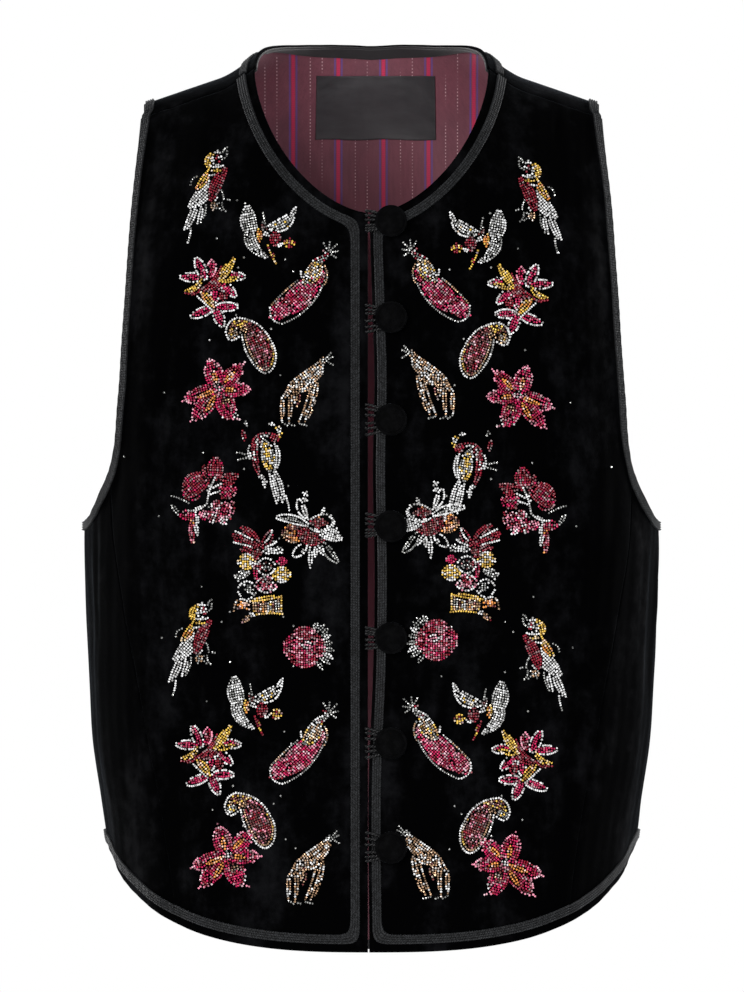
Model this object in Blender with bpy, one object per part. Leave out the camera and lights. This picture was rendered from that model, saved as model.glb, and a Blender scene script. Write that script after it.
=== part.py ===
"""Velvet waistcoat in its worn form: hollow, with neck, armholes and hem open.

The front faces -Y and the wearer's shoulders carry it at the origin. Left and right are as
seen from the front. Every piece is a thin wall on one torso surface, which is worked out
from horizontal rings below and closes over a sloping shoulder ridge above.
"""

import math

import bmesh
import bpy
import numpy as np

MM = 0.001

# Cloth and trim
WALL = 2.0 * MM
LINING_WALL = 1.0 * MM
LABEL_WALL = 0.8 * MM
SEAM_GAP = 0.3 * MM
BRAID_LIFT = 0.5 * MM
BRAID_HEIGHT = 1.1 * MM
BRAID_WIDTH = 6.0 * MM
BRAID_INSET = 5.2 * MM
RIGHT_BRAID_SHIFT = 3.2 * MM
ARMHOLE_INSET = 1.5 * MM

# Shoulder ridge, where front and back meet
SHOULDER_ROUND = 125 * MM
RIDGE_SLOPE = 0.353
RIDGE_BASE = 46.9 * MM
RIDGE_SOFTNESS = 30 * MM
NECK_RISE = 41 * MM
NECK_REACH = 100 * MM
SHOULDER_HALF_WIDTH = 149 * MM
SEAM_DROP = 8.5 * MM
RING_POWER = 2.3

# Neck, front edges and hem
NECK_HALF_WIDTH = 76.5 * MM
NECK_TOP = -3.3 * MM
NECK_POINT = -98 * MM
NECK_POWER = 1.7
BACK_NECK_TURN = 0.5525
BACK_SHOULDER_TURN = 0.80
BACK_SHOULDER_POWER = 1.6
SEAM_TURN_GAP = 0.004
HEM_BRAID_GAP = 0.2
FACING_TURNS = np.array([0.595, BACK_NECK_TURN])
UPPER_TURNS = np.array([0.903, 0.828, 0.752, 0.676])
BACK_ROW_STEPS = np.array([0.07, 0.18, 0.34, 0.54, 0.76, 0.98, 1.18])
LABEL_TOP = -4.5 * MM
LABEL_HEIGHT = 42.5 * MM
LABEL_WIDTH = 81 * MM
LABEL_CENTRE = 2.9 * MM
LABEL_DROP = 0.6 * MM
LEFT_EDGE = -2.3 * MM
HEM_CENTRE = -575.5 * MM
BACK_HEM_CENTRE = -577.0 * MM
HEM_SIDE = -511.6 * MM
HEM_REACH = 175.5 * MM
HEM_POWER = 2.8
HEM_SIDE_SHARE = 0.5929
SEAM_FOOT = 126.8 * MM

# Armholes
UNDERARM = -295.8 * MM
ARMHOLE_SCOOP = 32 * MM
ARMHOLE_SCOOP_ANGLE = 24.1
ARMHOLE_SCOOP_POWER = 3.2
ARMHOLE_ROWS = np.array([-0.264, -0.250, -0.231, -0.203, -0.168, -0.133])

# Fastening
BUTTON_X = 12.5 * MM
BUTTON_RADIUS = 10.4 * MM
BUTTON_DOME = 1.9 * MM
BUTTON_RIM = 1.8 * MM
SHANK_RADIUS = 1.5 * MM
SHANK_LENGTH = 4.6 * MM
SHANK_GAP = 0.6 * MM
LOOP_RADIUS = 0.9 * MM
LOOP_SPREAD = 4.6 * MM
LOOP_START_X = -4.4 * MM

# Rings round the torso: height, half width, front depth, back depth
RINGS = np.array([
    (-0.640, 0.1620, 0.111, 0.104),
    (-0.575, 0.1665, 0.109, 0.101),
    (-0.510, 0.1712, 0.106, 0.096),
    (-0.440, 0.1812, 0.104, 0.088),
    (-0.370, 0.1850, 0.108, 0.083),
    (-0.300, 0.1865, 0.114, 0.087),
    (-0.250, 0.1845, 0.115, 0.093),
    (-0.200, 0.1800, 0.112, 0.100),
    (-0.150, 0.1745, 0.106, 0.105),
    (-0.100, 0.1690, 0.098, 0.106),
    (-0.050, 0.1655, 0.090, 0.103),
    (0.000, 0.1630, 0.085, 0.099),
    (0.060, 0.1600, 0.082, 0.096),
])

# Armhole edges above the scoop: height, front x, back x
ARMHOLES = np.array([
    (-0.264, 0.1710, 0.1695),
    (-0.250, 0.1677, 0.1655),
    (-0.218, 0.1645, 0.1600),
    (-0.153, 0.1600, 0.1555),
    (-0.088, 0.1554, 0.1520),
    (-0.020, 0.1490, 0.1480),
    (0.020, 0.1480, 0.1480),
])

# Seams between front or back and the side panel: height, front x, back share of half width
SIDE_SEAMS = np.array([
    (-0.590, 0.1245, 0.880),
    (-0.560, 0.1268, 0.885),
    (-0.530, 0.1300, 0.890),
    (-0.488, 0.1360, 0.895),
    (-0.436, 0.1455, 0.900),
    (-0.390, 0.1540, 0.905),
    (-0.350, 0.1615, 0.908),
    (-0.310, 0.1680, 0.912),
    (-0.264, 0.1710, 0.916),
])

# Front edge on the right, which wanders beside the left one: height, x
RIGHT_EDGE = np.array([
    (-0.580, -0.0014),
    (-0.450, -0.0014),
    (-0.400, 0.0008),
    (-0.335, 0.0020),
    (-0.265, 0.0008),
    (-0.200, 0.0018),
    (-0.155, 0.0004),
    (-0.098, -0.0014),
])

# Broad folds: girth angle from the front centre, top, bottom, half width in degrees, depth
FOLDS = np.array([
    (78, -0.28, -0.47, 4.5, -0.0024),
    (97, -0.30, -0.50, 5.0, -0.0020),
    (-80, -0.29, -0.42, 4.0, -0.0022),
    (-96, -0.33, -0.50, 5.5, -0.0018),
    (42, -0.02, -0.12, 4.5, -0.0018),
    (-46, -0.01, -0.07, 4.0, -0.0014),
    (38, -0.42, -0.60, 9.0, 0.0020),
    (22, -0.44, -0.60, 7.0, -0.0016),
    (-34, -0.45, -0.60, 9.0, 0.0016),
    (-18, -0.42, -0.60, 7.0, -0.0014),
    (64, -0.22, -0.33, 6.0, -0.0018),
    (-62, -0.22, -0.34, 6.0, -0.0016),
    (148, -0.36, -0.62, 9.0, 0.0020),
    (165, -0.38, -0.62, 8.0, -0.0018),
    (-152, -0.34, -0.62, 9.0, 0.0018),
    (-170, -0.40, -0.62, 8.0, -0.0016),
    (128, -0.10, -0.30, 7.0, -0.0020),
    (-130, -0.12, -0.30, 7.0, -0.0018),
])

# Columns of the back on each half, as shares of the shoulder half width, and how many the neck
# facing takes from the middle
BACK_SHARES = np.array([0, 0.09, 0.18, 0.265, 0.34, 0.41, 0.46, 0.495, 0.512, 0.525, 0.60, 0.69,
                        0.78, 0.86, 0.93, 1])
FACING_COLUMNS = 6

BUTTON_HEIGHTS = (-0.104, -0.166, -0.2317, -0.3, -0.372, -0.4404, -0.508)

VELVET = (0.006, 0.006, 0.008)
BRAID = (0.03, 0.03, 0.034)
LINING = (0.13, 0.035, 0.05)
SATIN = (0.012, 0.012, 0.014)


def clear_scene():
    for item in list(bpy.data.objects):
        bpy.data.objects.remove(item, do_unlink=True)


def cloth_material(name, colour, roughness):
    material = bpy.data.materials.new(name)
    material.use_nodes = True
    shader = material.node_tree.nodes["Principled BSDF"]
    shader.inputs["Base Color"].default_value = (*colour, 1.0)
    shader.inputs["Roughness"].default_value = roughness
    return material


def smooth_column(rows, column, at):
    """A table's column at any height: cubic Hermite pieces through its rows."""
    order = np.argsort(rows[:, 0])
    knots = rows[order, 0]
    values = rows[order, column]
    slopes = np.gradient(values, knots)
    at = np.clip(at, knots[0], knots[-1])
    k = np.clip(np.searchsorted(knots, at) - 1, 0, len(knots) - 2)
    width = knots[k + 1] - knots[k]
    u = (at - knots[k]) / width
    rise = u * u * (3 - 2 * u)
    ends = values[k] + (values[k + 1] - values[k]) * rise
    bends = width * u * (1 - u) * (slopes[k] * (1 - u) - slopes[k + 1] * u)
    return ends + bends


def ridge_height(x):
    """Height of the shoulder ridge: a straight slope, rounded and raised towards the neck."""
    slope = RIDGE_SLOPE * (RIDGE_BASE + RIDGE_SOFTNESS - np.hypot(x, RIDGE_SOFTNESS))
    near_neck = np.clip(1 - (x / NECK_REACH) ** 2, 0, 1)
    return slope + NECK_RISE * near_neck ** 2


def turn_at(x, z):
    """How far over the shoulder a height lies: 0 on the ridge, 1 where the wall hangs straight."""
    drop = ridge_height(x) - z
    curved = np.arccos(np.clip(1 - drop / SHOULDER_ROUND, -1, 1)) / (math.pi / 2)
    straight = 1 + (drop - SHOULDER_ROUND) / (SHOULDER_ROUND * math.pi / 2)
    return np.where(drop < SHOULDER_ROUND, curved, straight)


def fold_lift(girth, z):
    """How far the folds move the cloth out: each a soft bell across, fading in and out along."""
    lift = np.zeros(np.broadcast(girth, z).shape)
    for angle, top, bottom, half_width, depth in FOLDS:
        across = np.exp(-((girth - angle) / half_width) ** 2)
        along = np.clip((top - z) / (top - bottom), 0, 1)
        lift = lift + depth * across * np.sin(math.pi * np.minimum(along, 0.75)) ** 2
    return lift


def over_shoulder(x, turn):
    """Torso points from x and the turn over the shoulder, negative in front and positive behind."""
    part = np.minimum(np.abs(turn), 1) * math.pi / 2
    beyond = np.maximum(np.abs(turn) - 1, 0) * math.pi / 2
    z = ridge_height(x) - SHOULDER_ROUND * (1 - np.cos(part) + beyond)
    half_width = smooth_column(RINGS, 1, z)
    front = turn < 0
    depth = np.where(front, smooth_column(RINGS, 2, z), smooth_column(RINGS, 3, z))
    share = np.clip(np.abs(x) / half_width, 0, 0.9999)
    round_off = (1 - share ** RING_POWER) ** (1 / RING_POWER)
    y = np.where(front, -1, 1) * depth * round_off * np.sin(part)
    girth = np.degrees(np.arcsin(share ** (RING_POWER / 2)))
    girth = np.sign(x) * np.where(front, girth, 180 - girth)
    return np.stack([x, y, z], axis=-1), fold_lift(girth, z) * np.sin(part)


def round_side(girth, z):
    """Torso points from the girth angle in degrees (0 front centre, 90 right side) and height."""
    half_width = smooth_column(RINGS, 1, z)
    angle = np.radians(girth)
    front = np.cos(angle) > 0
    depth = np.where(front, smooth_column(RINGS, 2, z), smooth_column(RINGS, 3, z))
    x = np.sign(np.sin(angle)) * half_width * np.abs(np.sin(angle)) ** (2 / RING_POWER)
    y = -np.sign(np.cos(angle)) * depth * np.abs(np.cos(angle)) ** (2 / RING_POWER)
    turn = np.minimum(turn_at(x, z), 1)
    y = y * np.sin(turn * math.pi / 2)
    return np.stack([x, y, z], axis=-1), fold_lift(girth, z)


STEPS = {over_shoulder: (1e-4, 1e-3), round_side: (0.1, 1e-4)}


def slopes_of(chart, first, second):
    """Directions of travel along both parameters of a chart, by central differences."""
    a, b = STEPS[chart]
    along_first = chart(first + a, second)[0] - chart(first - a, second)[0]
    along_second = chart(first, second + b)[0] - chart(first, second - b)[0]
    return along_first / (2 * a), along_second / (2 * b)


def place(chart, first, second):
    """Folded surface points and outward normals of a chart at two arrays of its parameters."""
    first, second = np.broadcast_arrays(np.asarray(first, float), np.asarray(second, float))
    points, lift = chart(first, second)
    along_first, along_second = slopes_of(chart, first, second)
    normals = np.cross(along_first, along_second)
    normals /= np.linalg.norm(normals, axis=-1, keepdims=True)
    return points + normals * lift[..., None], normals


def on_front(x, z):
    """Chart parameters of a front point seen at x and z."""
    return x, -turn_at(x, z)


def girth_of(x, z, behind=False):
    """Girth angle of the torso point at x and z, in front or behind."""
    share = np.clip(np.abs(x) / smooth_column(RINGS, 1, z), 0, 1)
    angle = np.degrees(np.arcsin(share ** (RING_POWER / 2)))
    return np.where(behind, 180 - angle, angle) * np.sign(x)


def hem_height(x, centre=HEM_CENTRE):
    """Hem curve: low and flat in the middle, rising to the sides as a squarish arc."""
    share = np.clip(np.abs(x) / HEM_REACH, 0, 1)
    rise = (HEM_SIDE - centre) / HEM_SIDE_SHARE
    return centre + rise * (1 - (1 - share ** HEM_POWER) ** (1 / HEM_POWER))


def hem_at_girth(girth):
    """Hem height at a girth angle, the back one longer than the front one."""
    z = np.full(np.shape(girth), HEM_SIDE)
    centre = np.where(np.abs(girth) > 90, BACK_HEM_CENTRE, HEM_CENTRE)
    for _ in range(6):
        x = round_side(girth, z)[0][..., 0]
        z = hem_height(x, centre)
    return z


def armhole_bottom(girth):
    """Armhole height round the side, lowest under the arm."""
    away = np.abs(90 - np.abs(girth)) / ARMHOLE_SCOOP_ANGLE
    return UNDERARM + ARMHOLE_SCOOP * away ** ARMHOLE_SCOOP_POWER


def closed_wall(name, outer, inner, material, loop=False):
    """One closed body between two grids of points, or a closed ring of it if loop is set."""
    rows, columns = outer.shape[:2]
    points = np.concatenate([outer.reshape(-1, 3), inner.reshape(-1, 3)])
    shift = rows * columns
    last = rows if loop else rows - 1
    faces = []
    for i in range(last):
        here = i * columns
        there = (i + 1) % rows * columns
        for j in range(columns - 1):
            for corner in ((here + j, here + j + 1, there + j + 1), (here + j, there + j + 1, there + j)):
                faces.append(corner)
                faces.append(tuple(shift + k for k in reversed(corner)))
        for j in (0, columns - 1):
            faces.append((here + j, there + j, shift + there + j, shift + here + j))
    if not loop:
        for start in (0, (rows - 1) * columns):
            for j in range(start, start + columns - 1):
                faces.append((j, j + 1, shift + j + 1, shift + j))
    mesh = bpy.data.meshes.new(name)
    mesh.from_pydata(points.tolist(), [], faces)
    return finish_mesh(name, mesh, material)


def finish_mesh(name, mesh, material):
    """Face a closed mesh outwards, shade it and put it in the scene."""
    work = bmesh.new()
    work.from_mesh(mesh)
    bmesh.ops.remove_doubles(work, verts=work.verts, dist=1e-6)
    bmesh.ops.recalc_face_normals(work, faces=work.faces)
    if work.calc_volume(signed=True) < 0:
        bmesh.ops.reverse_faces(work, faces=work.faces)
    work.to_mesh(mesh)
    work.free()
    mesh.materials.append(material)
    mesh.shade_smooth()
    mesh.set_sharp_from_angle(angle=math.radians(40))
    item = bpy.data.objects.new(name, mesh)
    bpy.context.scene.collection.objects.link(item)
    return item


def panel(name, chart, first, second, material, lift=0.0, wall=WALL):
    """A cloth wall whose outer face lies on the torso surface, lifted by a given amount."""
    points, normals = place(chart, first, second)
    return closed_wall(name, points + normals * lift, points + normals * (lift - wall), material)


def front_grid(side, columns=15, neck_rows=10):
    """x and z of a front panel's grid: rows from the hem up, columns from the centre outwards."""
    angle = np.linspace(0, math.pi / 2, neck_rows + 1)
    neck_x = NECK_HALF_WIDTH * np.sin(angle) ** (2 / NECK_POWER)
    neck_z = NECK_TOP + (NECK_POINT - NECK_TOP) * np.cos(angle) ** (2 / NECK_POWER)
    foot_z = hem_height(SEAM_FOOT)
    out_low = np.concatenate([np.linspace(foot_z, ARMHOLES[0, 0], 9)[:-1], ARMHOLE_ROWS])
    low_z = HEM_CENTRE + (out_low - foot_z) * (NECK_POINT - HEM_CENTRE) / (NECK_POINT - foot_z)
    if side > 0:
        edge = smooth_column(RIGHT_EDGE, 1, low_z)
        neck_x = np.maximum(neck_x, smooth_column(RIGHT_EDGE, 1, neck_z[0]))
    else:
        edge = np.full(len(low_z), -LEFT_EDGE)
        neck_x = np.maximum(neck_x, -LEFT_EDGE)
    in_x = np.concatenate([edge, neck_x])
    in_z = np.concatenate([low_z, neck_z])
    tip_z = ridge_height(SHOULDER_HALF_WIDTH) - SEAM_DROP
    out_z = np.concatenate([out_low, np.linspace(NECK_POINT, tip_z, neck_rows + 1)])
    on_seam = out_z < SIDE_SEAMS[-1, 0]
    out_x = np.where(on_seam, smooth_column(SIDE_SEAMS, 1, out_z) - SEAM_GAP,
                     smooth_column(ARMHOLES, 1, out_z))
    s = np.linspace(0, 1, columns)[None, :]
    x = in_x[:, None] + (out_x - in_x)[:, None] * s
    z = in_z[:, None] + (out_z - in_z)[:, None] * s
    v = np.linspace(0, 1, len(in_z))[:, None]
    hem_bow = hem_height(x[0]) - z[0]
    seam_bow = ridge_height(x[-1]) - SEAM_DROP - z[-1]
    z = z + hem_bow * np.clip(1 - v * 4, 0, 1) ** 2 + seam_bow * np.clip(v * 4 - 3, 0, 1) ** 2
    return side * x, z


def side_edges(z):
    """Girth angles of the side panel's two seams at a height."""
    front = girth_of(smooth_column(SIDE_SEAMS, 1, z), z)
    back_x = smooth_column(SIDE_SEAMS, 2, z) * smooth_column(RINGS, 1, z)
    return front, girth_of(back_x, z, behind=True)


def side_grid(side, columns=13, rows=13):
    """Girth angle and height of a side panel's grid, from its hem to the armhole."""
    u = np.linspace(0, 1, columns)[None, :]
    v = np.linspace(0, 1, rows)[:, None]
    z = np.full((rows, columns), -0.4)
    gap = math.degrees(SEAM_GAP / 0.13)
    for _ in range(8):
        front, back = side_edges(z)
        girth = front + gap + (back - front - 2 * gap) * u
        low = hem_at_girth(girth)
        z = low + (armhole_bottom(girth) - low) * v
    return side * girth, z


def back_edge(turn, share):
    """Half width of the back at a turn: the side seam low down, the armhole above it."""
    x = share * SHOULDER_HALF_WIDTH + np.zeros_like(turn)
    for _ in range(6):
        z = over_shoulder(x, turn)[0][..., 2]
        seam = smooth_column(SIDE_SEAMS, 2, z) * smooth_column(RINGS, 1, z) - SEAM_GAP
        arm = np.where(turn > 0, smooth_column(ARMHOLES, 2, z), SHOULDER_HALF_WIDTH - MM)
        x = share * np.where(z < SIDE_SEAMS[-1, 0], seam, arm)
    return x


def seam_turn(x, drop=SEAM_DROP):
    """Turn of the shoulder seam, a little forward of the ridge."""
    return -turn_at(x, ridge_height(x) - drop)


def back_top_turn(x):
    """Turn of the back's upper edge: the shoulder seams, and the neck edge between them."""
    low = seam_turn(np.abs(x)) + SEAM_TURN_GAP
    share = np.clip(1 - (np.abs(x) / NECK_HALF_WIDTH) ** NECK_POWER, 0, 1)
    return low + (BACK_NECK_TURN - low) * np.sqrt(share)


def back_grid(low_rows=9):
    """x and turn of the back's grid: rows from the hem up, columns from left to right."""
    shares = np.concatenate([-BACK_SHARES[:0:-1], BACK_SHARES])[None, :]
    top_x = shares * SHOULDER_HALF_WIDTH
    top = back_top_turn(top_x)
    smooth_top = BACK_NECK_TURN - BACK_SHOULDER_TURN * np.abs(shares) ** BACK_SHOULDER_POWER
    bottom = np.full_like(shares, turn_at(0.0, BACK_HEM_CENTRE))
    for _ in range(6):
        foot_x = back_edge(bottom, shares)
        bottom = turn_at(foot_x, hem_height(foot_x, BACK_HEM_CENTRE))
    corner = turn_at(ARMHOLES[0, 2], ARMHOLES[0, 0])
    low_turn = turn_at(0.0, BACK_HEM_CENTRE)
    corner_v = (bottom[0, -1] - corner) / (bottom[0, -1] - smooth_top[0, -1])
    corner_turn = low_turn + (BACK_NECK_TURN - low_turn) * corner_v
    turns = np.concatenate([np.linspace(low_turn, corner_turn, low_rows), corner_turn - BACK_ROW_STEPS,
                            UPPER_TURNS, FACING_TURNS])
    v = ((low_turn - turns) / (low_turn - BACK_NECK_TURN))[:, None]
    lower = bottom + (smooth_top - bottom) * v
    turn = lower + (top - smooth_top) * np.clip(v * 3 - 2, 0, 1) ** 2
    return back_edge(turn, shares), turn


def side_step(chart, first, second, distance):
    """Parameters of points at a distance to the left of a path, measured on the surface."""
    along_first, along_second = slopes_of(chart, first, second)
    points, _ = chart(first, second)
    ahead = np.gradient(points, axis=0)
    normals = np.cross(along_first, along_second)
    sideways = np.cross(normals, ahead)
    sideways /= np.linalg.norm(sideways, axis=-1, keepdims=True)
    a = np.sum(along_first * along_first, axis=-1)
    b = np.sum(along_first * along_second, axis=-1)
    c = np.sum(along_second * along_second, axis=-1)
    p = np.sum(along_first * sideways, axis=-1)
    q = np.sum(along_second * sideways, axis=-1)
    flat = a * c - b * b
    return first + distance * (c * p - b * q) / flat, second + distance * (a * q - b * p) / flat


def ribbon(name, strips, material, loop=False):
    """A flat braid from strips of surface points and normals, one pair for each of its edges."""
    (near, near_normals), (far, far_normals) = strips
    low = BRAID_LIFT
    high = BRAID_LIFT + BRAID_HEIGHT
    outer = np.stack([near + near_normals * high, far + far_normals * high], axis=1)
    inner = np.stack([near + near_normals * low, far + far_normals * low], axis=1)
    return closed_wall(name, outer, inner, material, loop)


def edge_strips(parts, distances):
    """Two parallel strips along a path given as chart, first and second for each stretch."""
    strips = []
    for distance in distances:
        placed = [place(chart, *side_step(chart, first, second, distance))
                  for chart, first, second in parts]
        strips.append([np.concatenate([part[k] for part in placed]) for k in range(2)])
    return strips


def even_line(x, z, count):
    """The same line through a count of points spaced evenly along it."""
    along = np.concatenate([[0], np.cumsum(np.hypot(np.diff(x), np.diff(z)))])
    at = np.linspace(0, along[-1], count)
    return np.interp(at, along, x), np.interp(at, along, z)


def above_hem(x, z, y, inset):
    """Heights of a line that is inset from the hem, measured square to it on the cloth."""
    return z + inset * np.hypot(1, np.gradient(z) / np.hypot(np.gradient(x), np.gradient(y)))


def front_edge_path(side, inset, counts=(18, 40, 22)):
    """x and z of a line inside a front's neck edge, front edge and hem, with square corners."""
    angle = np.linspace(math.pi / 2, 0, 120)
    x = NECK_HALF_WIDTH * np.sin(angle) ** (2 / NECK_POWER)
    z = NECK_TOP + (NECK_POINT - NECK_TOP) * np.cos(angle) ** (2 / NECK_POWER)
    ahead = np.stack([np.gradient(x), np.gradient(z)], axis=1)
    ahead /= np.linalg.norm(ahead, axis=1, keepdims=True)
    neck_x = x - inset * ahead[:, 1]
    neck_z = z + inset * ahead[:, 0]
    edge_z = np.linspace(NECK_POINT, HEM_CENTRE, counts[1] * 4)
    if side > 0:
        edge_x = smooth_column(RIGHT_EDGE, 1, edge_z) + inset - RIGHT_BRAID_SHIFT
    else:
        edge_x = np.full(len(edge_z), inset - LEFT_EDGE)
    hem_x = np.linspace(0, SEAM_FOOT - SEAM_GAP, counts[2] * 8)
    hem_y = over_shoulder(*on_front(hem_x, hem_height(hem_x)))[0][:, 1]
    hem_z = above_hem(hem_x, hem_height(hem_x), hem_y, inset)
    top_z = np.interp(edge_x[0], neck_x[::-1], neck_z[::-1])
    foot_z = np.interp(edge_x[-1], hem_x, hem_z)
    on_panel = (neck_x > edge_x[0]) & (neck_z < ridge_height(neck_x) - SEAM_DROP - MM)
    on_edge = (edge_z < top_z) & (edge_z > foot_z)
    on_hem = hem_x > edge_x[-1]
    top, foot = (edge_x[0], top_z), (edge_x[-1], foot_z)
    neck = even_line(np.append(neck_x[on_panel], top[0]), np.append(neck_z[on_panel], top[1]), counts[0])
    edge = even_line(np.concatenate([top[:1], edge_x[on_edge], foot[:1]]),
                     np.concatenate([top[1:], edge_z[on_edge], foot[1:]]), counts[1])
    hem = even_line(np.append(foot[0], hem_x[on_hem]), np.append(foot[1], hem_z[on_hem]), counts[2])
    x = np.concatenate([neck[0], edge[0][1:], hem[0][1:]])
    return side * x, np.concatenate([neck[1], edge[1][1:], hem[1][1:]])


def lay_front_braid(name, side, material):
    """Braid along one front: its two edges are insets of the panel's own edge."""
    lines = [front_edge_path(side, inset) for inset in (BRAID_INSET, BRAID_INSET + BRAID_WIDTH)]
    return ribbon(name, [place(over_shoulder, *on_front(x, z)) for x, z in lines], material)


def back_neck_path(count=36):
    """x and turn along the back neck edge, from the left shoulder seam to the right one."""
    angle = np.linspace(-math.pi / 2, math.pi / 2, count)
    x = NECK_HALF_WIDTH * np.sign(angle) * np.abs(np.sin(angle)) ** (2 / NECK_POWER)
    low = seam_turn(np.full(count, NECK_HALF_WIDTH)) + SEAM_TURN_GAP
    return x, low + (BACK_NECK_TURN - low) * np.cos(angle)


def armhole_parts(side, step=16):
    """An armhole edge as a ring of stretches: down the front, under the arm, up the back."""
    tip = ridge_height(SHOULDER_HALF_WIDTH)
    front_z = np.linspace(tip - SEAM_DROP, ARMHOLES[0, 0], step)
    front = (over_shoulder, *on_front(side * smooth_column(ARMHOLES, 1, front_z), front_z))
    first = girth_of(ARMHOLES[0, 1], ARMHOLES[0, 0])
    last = girth_of(ARMHOLES[0, 2], ARMHOLES[0, 0], behind=True)
    girth = np.linspace(first, last, step)[1:-1]
    under = (round_side, side * girth, armhole_bottom(girth))
    low = turn_at(ARMHOLES[0, 2], ARMHOLES[0, 0])
    turn = np.linspace(low, -0.19, step)
    back = (over_shoulder, side * back_edge(turn, 1.0), turn)
    return front, under, back


def lay_armhole_braid(name, side, material):
    """Braid round one armhole, set in from its edge."""
    insets = (-side * ARMHOLE_INSET, -side * (ARMHOLE_INSET + BRAID_WIDTH))
    strips = edge_strips(armhole_parts(side), insets)
    return ribbon(name, strips, material, loop=True)


def lay_back_hem_braid(name, material, count=84):
    """Braid along the hem of both sides and the back."""
    first = girth_of(SEAM_FOOT, hem_height(SEAM_FOOT)) + HEM_BRAID_GAP
    girth = np.linspace(first, 360 - first, count)
    girth = np.where(girth > 180, girth - 360, girth)
    z = hem_at_girth(girth)
    x, y, _ = round_side(girth, z)[0].T
    strips = []
    for inset in (BRAID_INSET, BRAID_INSET + BRAID_WIDTH):
        strips.append(place(round_side, girth, above_hem(x, z, y, inset)))
    return ribbon(name, strips, material)


def lay_facing(name, material):
    """Dark strip inside the back neck edge, from the back's own last rows."""
    x, turn = back_grid()
    middle = len(BACK_SHARES) - 1
    rows = slice(-len(FACING_TURNS), None)
    columns = slice(middle - FACING_COLUMNS, middle + FACING_COLUMNS + 1)
    lift = -(WALL + LINING_WALL + 2 * SEAM_GAP)
    panel(name, over_shoulder, x[rows, columns], turn[rows, columns], material, lift, LABEL_WALL)


def lay_label(name, material, rows=4, columns=9):
    """Straight-sided bare label, hung level on the lining."""
    z = LABEL_TOP - LABEL_HEIGHT * np.linspace(1, 0, rows)[:, None]
    x = LABEL_CENTRE + LABEL_WIDTH * np.linspace(-0.5, 0.5, columns)[None, :]
    lift = -(WALL + LINING_WALL + SEAM_GAP + LABEL_DROP)
    panel(name, over_shoulder, x, turn_at(x, z), material, lift, LABEL_WALL)


def button_seat(height):
    """Point and normal of the right front under a button."""
    points, normals = place(over_shoulder, *on_front(np.array([BUTTON_X]), np.array([height])))
    return points[0], normals[0]


def frame_of(normal):
    """Axes at a seat: to the right, up along the cloth, and outwards."""
    right = np.cross((0, 0, 1), -normal)
    right = -right / np.linalg.norm(right)
    right *= 1 if right[0] > 0 else -1
    return right, np.cross(normal, right), normal


def lay_button(name, height, material):
    """A turned body: shank on the cloth, or on the braid at its corner, then rim and low dome."""
    seat, normal = button_seat(height)
    right, up, out = frame_of(normal)
    on_braid = height > NECK_POINT - BRAID_INSET - BRAID_WIDTH
    foot_level = SHANK_GAP + (BRAID_LIFT + BRAID_HEIGHT if on_braid else 0)
    under = SEAM_GAP + SHANK_LENGTH
    crown = under + BUTTON_RIM
    profile = [(SHANK_RADIUS, foot_level), (SHANK_RADIUS, under), (0.94 * BUTTON_RADIUS, under),
               (BUTTON_RADIUS, under + 0.5 * BUTTON_RIM), (0.93 * BUTTON_RADIUS, crown),
               (0.70 * BUTTON_RADIUS, crown + 0.6 * BUTTON_DOME),
               (0.36 * BUTTON_RADIUS, crown + 0.92 * BUTTON_DOME)]
    sides = 18
    angle = np.arange(sides) / sides * 2 * math.pi
    ring = np.cos(angle)[:, None] * right + np.sin(angle)[:, None] * up
    points = [seat + radius * ring + level * out for radius, level in profile]
    points.append((seat + foot_level * out)[None])
    points.append((seat + (crown + BUTTON_DOME) * out)[None])
    points = np.concatenate(points)
    foot, top = len(points) - 2, len(points) - 1
    faces = []
    for k in range(sides):
        n = (k + 1) % sides
        faces.append((foot, n, k))
        last = (len(profile) - 1) * sides
        faces.append((top, last + k, last + n))
        for level in range(len(profile) - 1):
            low = level * sides
            faces.append((low + k, low + n, low + sides + n, low + sides + k))
    mesh = bpy.data.meshes.new(name)
    mesh.from_pydata(points.tolist(), [], faces)
    return finish_mesh(name, mesh, material)


def loop_route(height):
    """Centre line of a cord loop: from the left edge, round the shank and back."""
    reach = SHANK_RADIUS + LOOP_RADIUS + 0.5 * MM
    over = BRAID_LIFT + BRAID_HEIGHT + LOOP_RADIUS + 0.5 * MM
    low = LOOP_RADIUS + 0.4 * MM
    half = [(LOOP_START_X, LOOP_SPREAD, low), (-1.6 * MM, 0.93 * LOOP_SPREAD, low + 0.4 * MM),
            (1.2 * MM, 0.84 * LOOP_SPREAD, over), (5.5 * MM, 0.72 * LOOP_SPREAD, over),
            (9.5 * MM, 0.62 * LOOP_SPREAD, over)]
    for angle in np.radians((70, 35, 0)):
        half.append((BUTTON_X + reach * math.cos(angle), reach * math.sin(angle), over))
    lower = [(x, -up, lift) for x, up, lift in reversed(half[:-1])]
    route = np.array(half + lower)
    points, normals = place(over_shoulder, *on_front(route[:, 0], height + route[:, 1]))
    return points + normals * route[:, 2:3], normals


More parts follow.
